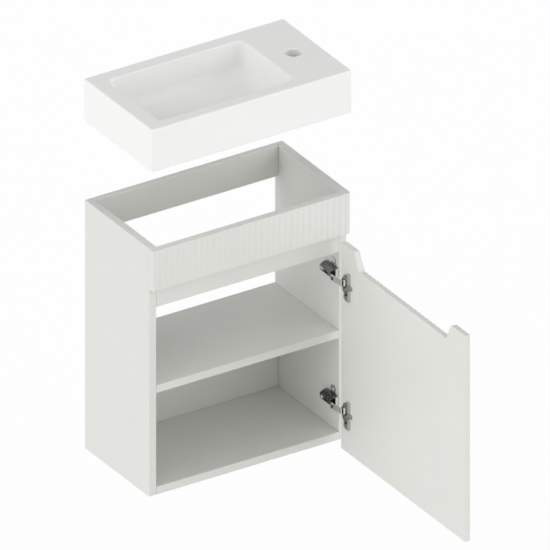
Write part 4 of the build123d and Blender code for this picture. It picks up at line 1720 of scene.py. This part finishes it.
@dataclass
class Hinges:
    """The two concealed hinges: cups in the door, links, arms and winged plates. Millimetres."""

    plate_screw_x: float = 183.0
    plate_screw_y: float = -190.0
    plate_screw_reach: float = 16.0
    fixing_screw: ScrewSize = ScrewSize(head=7.0, rise=1.6, shank=4.0, length=12.0)
    adjusting_screw: ScrewSize = ScrewSize(head=4.6, rise=1.2, shank=4.0, length=8.0)
    plate_screw: ScrewSize = ScrewSize(head=9.0, rise=2.0, shank=5.0, length=12.9)
    cup_screw: ScrewSize = ScrewSize(head=6.6, rise=1.6, shank=3.5, length=8.9)
    edge_softness: float = 0.35
    cups: list[HingeCup] = field(init=False)
    arms: list[HingeArm] = field(init=False)

    def __post_init__(self) -> None:
        """Places the cups and arms by the door and the pins of the frame."""
        low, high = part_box("fluted_door")
        inner_face = low.x / MM
        hinge_edge = high.y / MM
        low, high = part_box("arm_pins")
        pin = (low + high) / 2 / MM
        self.cups = []
        self.arms = []
        for level in Level:
            low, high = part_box(f"{level.value}_hinge_cup")
            middle = (low.z + high.z) / 2 / MM
            self.cups.append(HingeCup(level, inner_face, hinge_edge, middle))
            self.arms.append(HingeArm(level, pin, middle))

    def bores(self) -> list[bpy.types.Object]:
        """What both hinges need bored out of the door."""
        return [tool for cup in self.cups for tool in cup.bores()]

    def link_and_plate(self, level: Level, palette: Palette) -> None:
        """Gives one link and one plate their pressed edges and their finish.

        Args:
            level: Which hinge they belong to.
            palette: The finishes.
        """
        link_node = f"{level.value}_hinge_link"
        # The link's light nickel is a painted highlight: its colour stands in for the bright reflected band
        # on the plated strap.
        link = softened(link_node, f"{level.value}_link_strap", palette.bright, self.edge_softness)
        settled(link, Body.LINKS, (link_node,))
        plate_node = f"{level.value}_mounting_plate"
        plate = softened(plate_node, f"{level.value}_winged_plate", palette.nickel, self.edge_softness)
        settled(plate, Body.CARCASS, (plate_node,))

    def screws(self, palette: Palette) -> None:
        """Drives in every screw of the hinges.

        Args:
            palette: The finishes.
        """
        fixing = [(arm.face, arm.fixing_screw_y, arm.middle) for arm in self.arms]
        adjusting = [
            (arm.face + arm.adjusting_screw_depth, arm.adjusting_screw_y, arm.middle) for arm in self.arms
        ]
        plate = [
            (self.plate_screw_x, self.plate_screw_y, arm.middle + side * self.plate_screw_reach)
            for arm in self.arms
            for side in SIDES
        ]
        cups = [seat for cup in self.cups for seat in cup.screw_seats()]
        for name, seats, size, body, node in (
            ("arm_fixing_screws", fixing, self.fixing_screw, Body.CARCASS, "arm_screws"),
            ("arm_adjusting_screws", adjusting, self.adjusting_screw, Body.CARCASS, "arm_screws"),
            ("plate_fixing_screws", plate, self.plate_screw, Body.CARCASS, "plate_screws"),
            ("cup_fixing_screws", cups, self.cup_screw, Body.DOOR, "cup_screws"),
        ):
            ScrewSet(name, seats, size).build(palette.zinc, body, node)

    def build(self, palette: Palette) -> None:
        """Makes both hinges.

        Args:
            palette: The finishes.
        """
        for level, cup, arm in zip(Level, self.cups, self.arms):
            cup.build(palette)
            arm.build(palette)
            self.link_and_plate(level, palette)
        self.screws(palette)
        for node in ("arm_pins", "cup_pins"):
            dressed(node, palette.nickel)


@dataclass(frozen=True)
class SoftLight:
    """One soft patch of light in the studio's surroundings. Degrees."""

    azimuth: float
    elevation: float
    strength: float
    narrowness: float = 3.0


@dataclass
class Studio:
    """A pale floor, soft light and the photograph's camera. Metres."""

    azimuth: float = -32.2
    elevation: float = 28.594
    view_width: float = 0.94243
    aim_right: float = 0.156891
    aim_up: float = -0.153742
    distance: float = 2.6
    floor_below: float = 0.36
    floor_side: float = 24.0
    lights: tuple[SoftLight, ...] = (
        SoftLight(azimuth=0.0, elevation=90.0, strength=0.12, narrowness=1.0),
        SoftLight(azimuth=-90.0, elevation=10.0, strength=1.36),
        SoftLight(azimuth=45.0, elevation=10.0, strength=2.10),
        SoftLight(azimuth=-90.0, elevation=50.0, strength=0.62),
        SoftLight(azimuth=-10.0, elevation=-30.0, strength=0.30),
        SoftLight(azimuth=-90.0, elevation=-30.0, strength=0.67),
    )
    floor_colours: tuple[Colour, Colour] = ((0.86, 0.86, 0.86), (0.9, 0.9, 0.9))
    floor_cloud: float = 400.0
    floor_roughness: float = 0.9
    floor_glow: float = 1.03
    floor_glow_share: float = 0.9

    @staticmethod
    def towards(azimuth: float, elevation: float) -> Vector:
        """The direction from the object to a viewer or a light.

        Args:
            azimuth: How far to the right it stands, in degrees.
            elevation: How far up it stands, in degrees.

        Returns:
            The direction.
        """
        side = math.radians(azimuth)
        rise = math.radians(elevation)
        return Vector((math.sin(side) * math.cos(rise), -math.cos(side) * math.cos(rise), math.sin(rise)))

    def camera(self) -> None:
        """Sets the photograph's camera, which has no perspective."""
        back = self.towards(self.azimuth, self.elevation)
        turn = (-back).to_track_quat("-Z", "Y")
        right = turn @ Vector((1.0, 0.0, 0.0))
        up = turn @ Vector((0.0, 1.0, 0.0))
        data = bpy.data.cameras.new("camera")
        data.type = "ORTHO"
        data.ortho_scale = self.view_width
        data.clip_end = 30.0
        camera = bpy.data.objects.new("camera", data)
        camera.rotation_mode = "QUATERNION"
        camera.rotation_quaternion = turn
        camera.location = right * self.aim_right + up * self.aim_up + back * self.distance
        bpy.context.scene.collection.objects.link(camera)
        bpy.context.scene.camera = camera

    def seen(self, tree: bpy.types.NodeTree) -> Socket:
        """Whether a ray comes from the camera, or by way of a mirror or glass.

        Args:
            tree: The shader tree that asks.

        Returns:
            One for such a ray, and none for light that falls on the unit.
        """
        path = tree.nodes.new("ShaderNodeLightPath")
        total = path.outputs["Is Camera Ray"]
        for name in ("Is Glossy Ray", "Is Transmission Ray"):
            larger = tree.nodes.new("ShaderNodeMath")
            larger.operation = "MAXIMUM"
            tree.links.new(total, larger.inputs[0])
            tree.links.new(path.outputs[name], larger.inputs[1])
            total = larger.outputs["Value"]
        return total

    def world(self) -> None:
        """Lights the unit by soft patches all round, and shows white where nothing stands."""
        world = bpy.data.worlds.new("studio")
        world.use_nodes = True
        bpy.context.scene.world = world
        tree = world.node_tree
        background = tree.nodes["Background"]
        place = tree.nodes.new("ShaderNodeTexCoord")
        total: Socket | float = 0.0
        for light in self.lights:
            facing = tree.nodes.new("ShaderNodeVectorMath")
            facing.operation = "DOT_PRODUCT"
            facing.inputs[1].default_value = self.towards(light.azimuth, light.elevation)
            tree.links.new(place.outputs["Generated"], facing.inputs[0])
            value = facing.outputs["Value"]
            for operation, number in (
                ("MAXIMUM", 0.0),
                ("POWER", light.narrowness),
                ("MULTIPLY", light.strength),
                ("ADD", total),
            ):
                step = tree.nodes.new("ShaderNodeMath")
                step.operation = operation
                tree.links.new(value, step.inputs[0])
                if isinstance(number, float):
                    step.inputs[1].default_value = number
                else:
                    tree.links.new(number, step.inputs[1])
                value = step.outputs["Value"]
            total = value
        strength = tree.nodes.new("ShaderNodeMapRange")
        tree.links.new(self.seen(tree), strength.inputs["Value"])
        tree.links.new(total, strength.inputs["To Min"])
        strength.inputs["To Max"].default_value = 1.0
        tree.links.new(strength.outputs["Result"], background.inputs["Strength"])
        background.inputs["Color"].default_value = (1.0, 1.0, 1.0, 1.0)

    def floor(self) -> None:
        """Lays a pale floor well below the unit, which hangs on a wall."""
        low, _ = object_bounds()
        z = low.z - self.floor_below
        half = self.floor_side / 2
        shape = bmesh.new()
        outline = ((-half, -half), (half, -half), (half, half), (-half, half))
        shape.faces.new([shape.verts.new((x, y, z)) for x, y in outline])
        plan = ShaderPlan("pale_floor")
        plan.drive("Base Color", plan.coloured(plan.noise(self.floor_cloud), *self.floor_colours))
        plan.set(Roughness=self.floor_roughness)
        tree = plan.tree
        glow = tree.nodes.new("ShaderNodeEmission")
        glow.inputs["Strength"].default_value = self.floor_glow
        blend = tree.nodes.new("ShaderNodeMixShader")
        share = tree.nodes.new("ShaderNodeMath")
        share.operation = "MULTIPLY"
        share.inputs[1].default_value = self.floor_glow_share
        tree.links.new(self.seen(tree), share.inputs[0])
        tree.links.new(share.outputs["Value"], blend.inputs["Fac"])
        tree.links.new(plan.shader.outputs["BSDF"], blend.inputs[1])
        tree.links.new(glow.outputs["Emission"], blend.inputs[2])
        output = [node for node in tree.nodes if node.type == "OUTPUT_MATERIAL"][0]
        tree.links.new(blend.outputs["Shader"], output.inputs["Surface"])
        floor = piece_from("floor", shape, plan.material)
        floor.visible_diffuse = False
        floor.visible_shadow = False
        floor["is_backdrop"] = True

    def build(self) -> None:
        """Sets up the camera, the light and the floor."""
        scene = bpy.context.scene
        scene.view_settings.view_transform = "Standard"
        self.camera()
        self.world()
        self.floor()


def fascia() -> RibbedFront:
    """Sizes the ribbed strip across the top of the front, where the frame has it.

    Returns:
        The strip, not yet built.
    """
    low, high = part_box("fluted_fascia")
    size = (high - low) / MM
    return RibbedFront(
        name="ribbed_fascia",
        body=Body.CARCASS,
        node="fluted_fascia",
        origin=(0.0, high.y / MM, low.z / MM),
        turn=0.0,
        width=size.x,
        height=size.z,
        thickness=size.y,
    )


def door() -> RibbedFront:
    """Sizes the ribbed door, standing open at a right angle, where the frame has it.

    Returns:
        The door, not yet built.
    """
    low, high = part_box("fluted_door")
    size = (high - low) / MM
    return RibbedFront(
        name="ribbed_door",
        body=Body.DOOR,
        node="fluted_door",
        origin=(low.x / MM, (low.y + high.y) / 2 / MM, low.z / MM),
        turn=90.0,
        width=size.y,
        height=size.z,
        thickness=size.x,
        cut_depth=32.0,
        cut_near_top=42.0,
        cut_near_bottom=58.0,
        cut_far_bottom=338.0,
        cut_far_top=353.0,
        cut_softness=5.7,
        rows=41,
    )


def main() -> None:
    """Builds every sub-assembly in order, then the studio."""
    logging.basicConfig(level=logging.INFO, format="%(message)s")
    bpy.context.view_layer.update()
    palette = Palette.made()
    Carcass().build(palette)
    hinges = Hinges()
    fascia().build(palette, [])
    door().build(palette, hinges.bores())
    hinges.build(palette)
    Basin().build(palette)
    Studio().build()


if __name__ == "__main__":
    main()
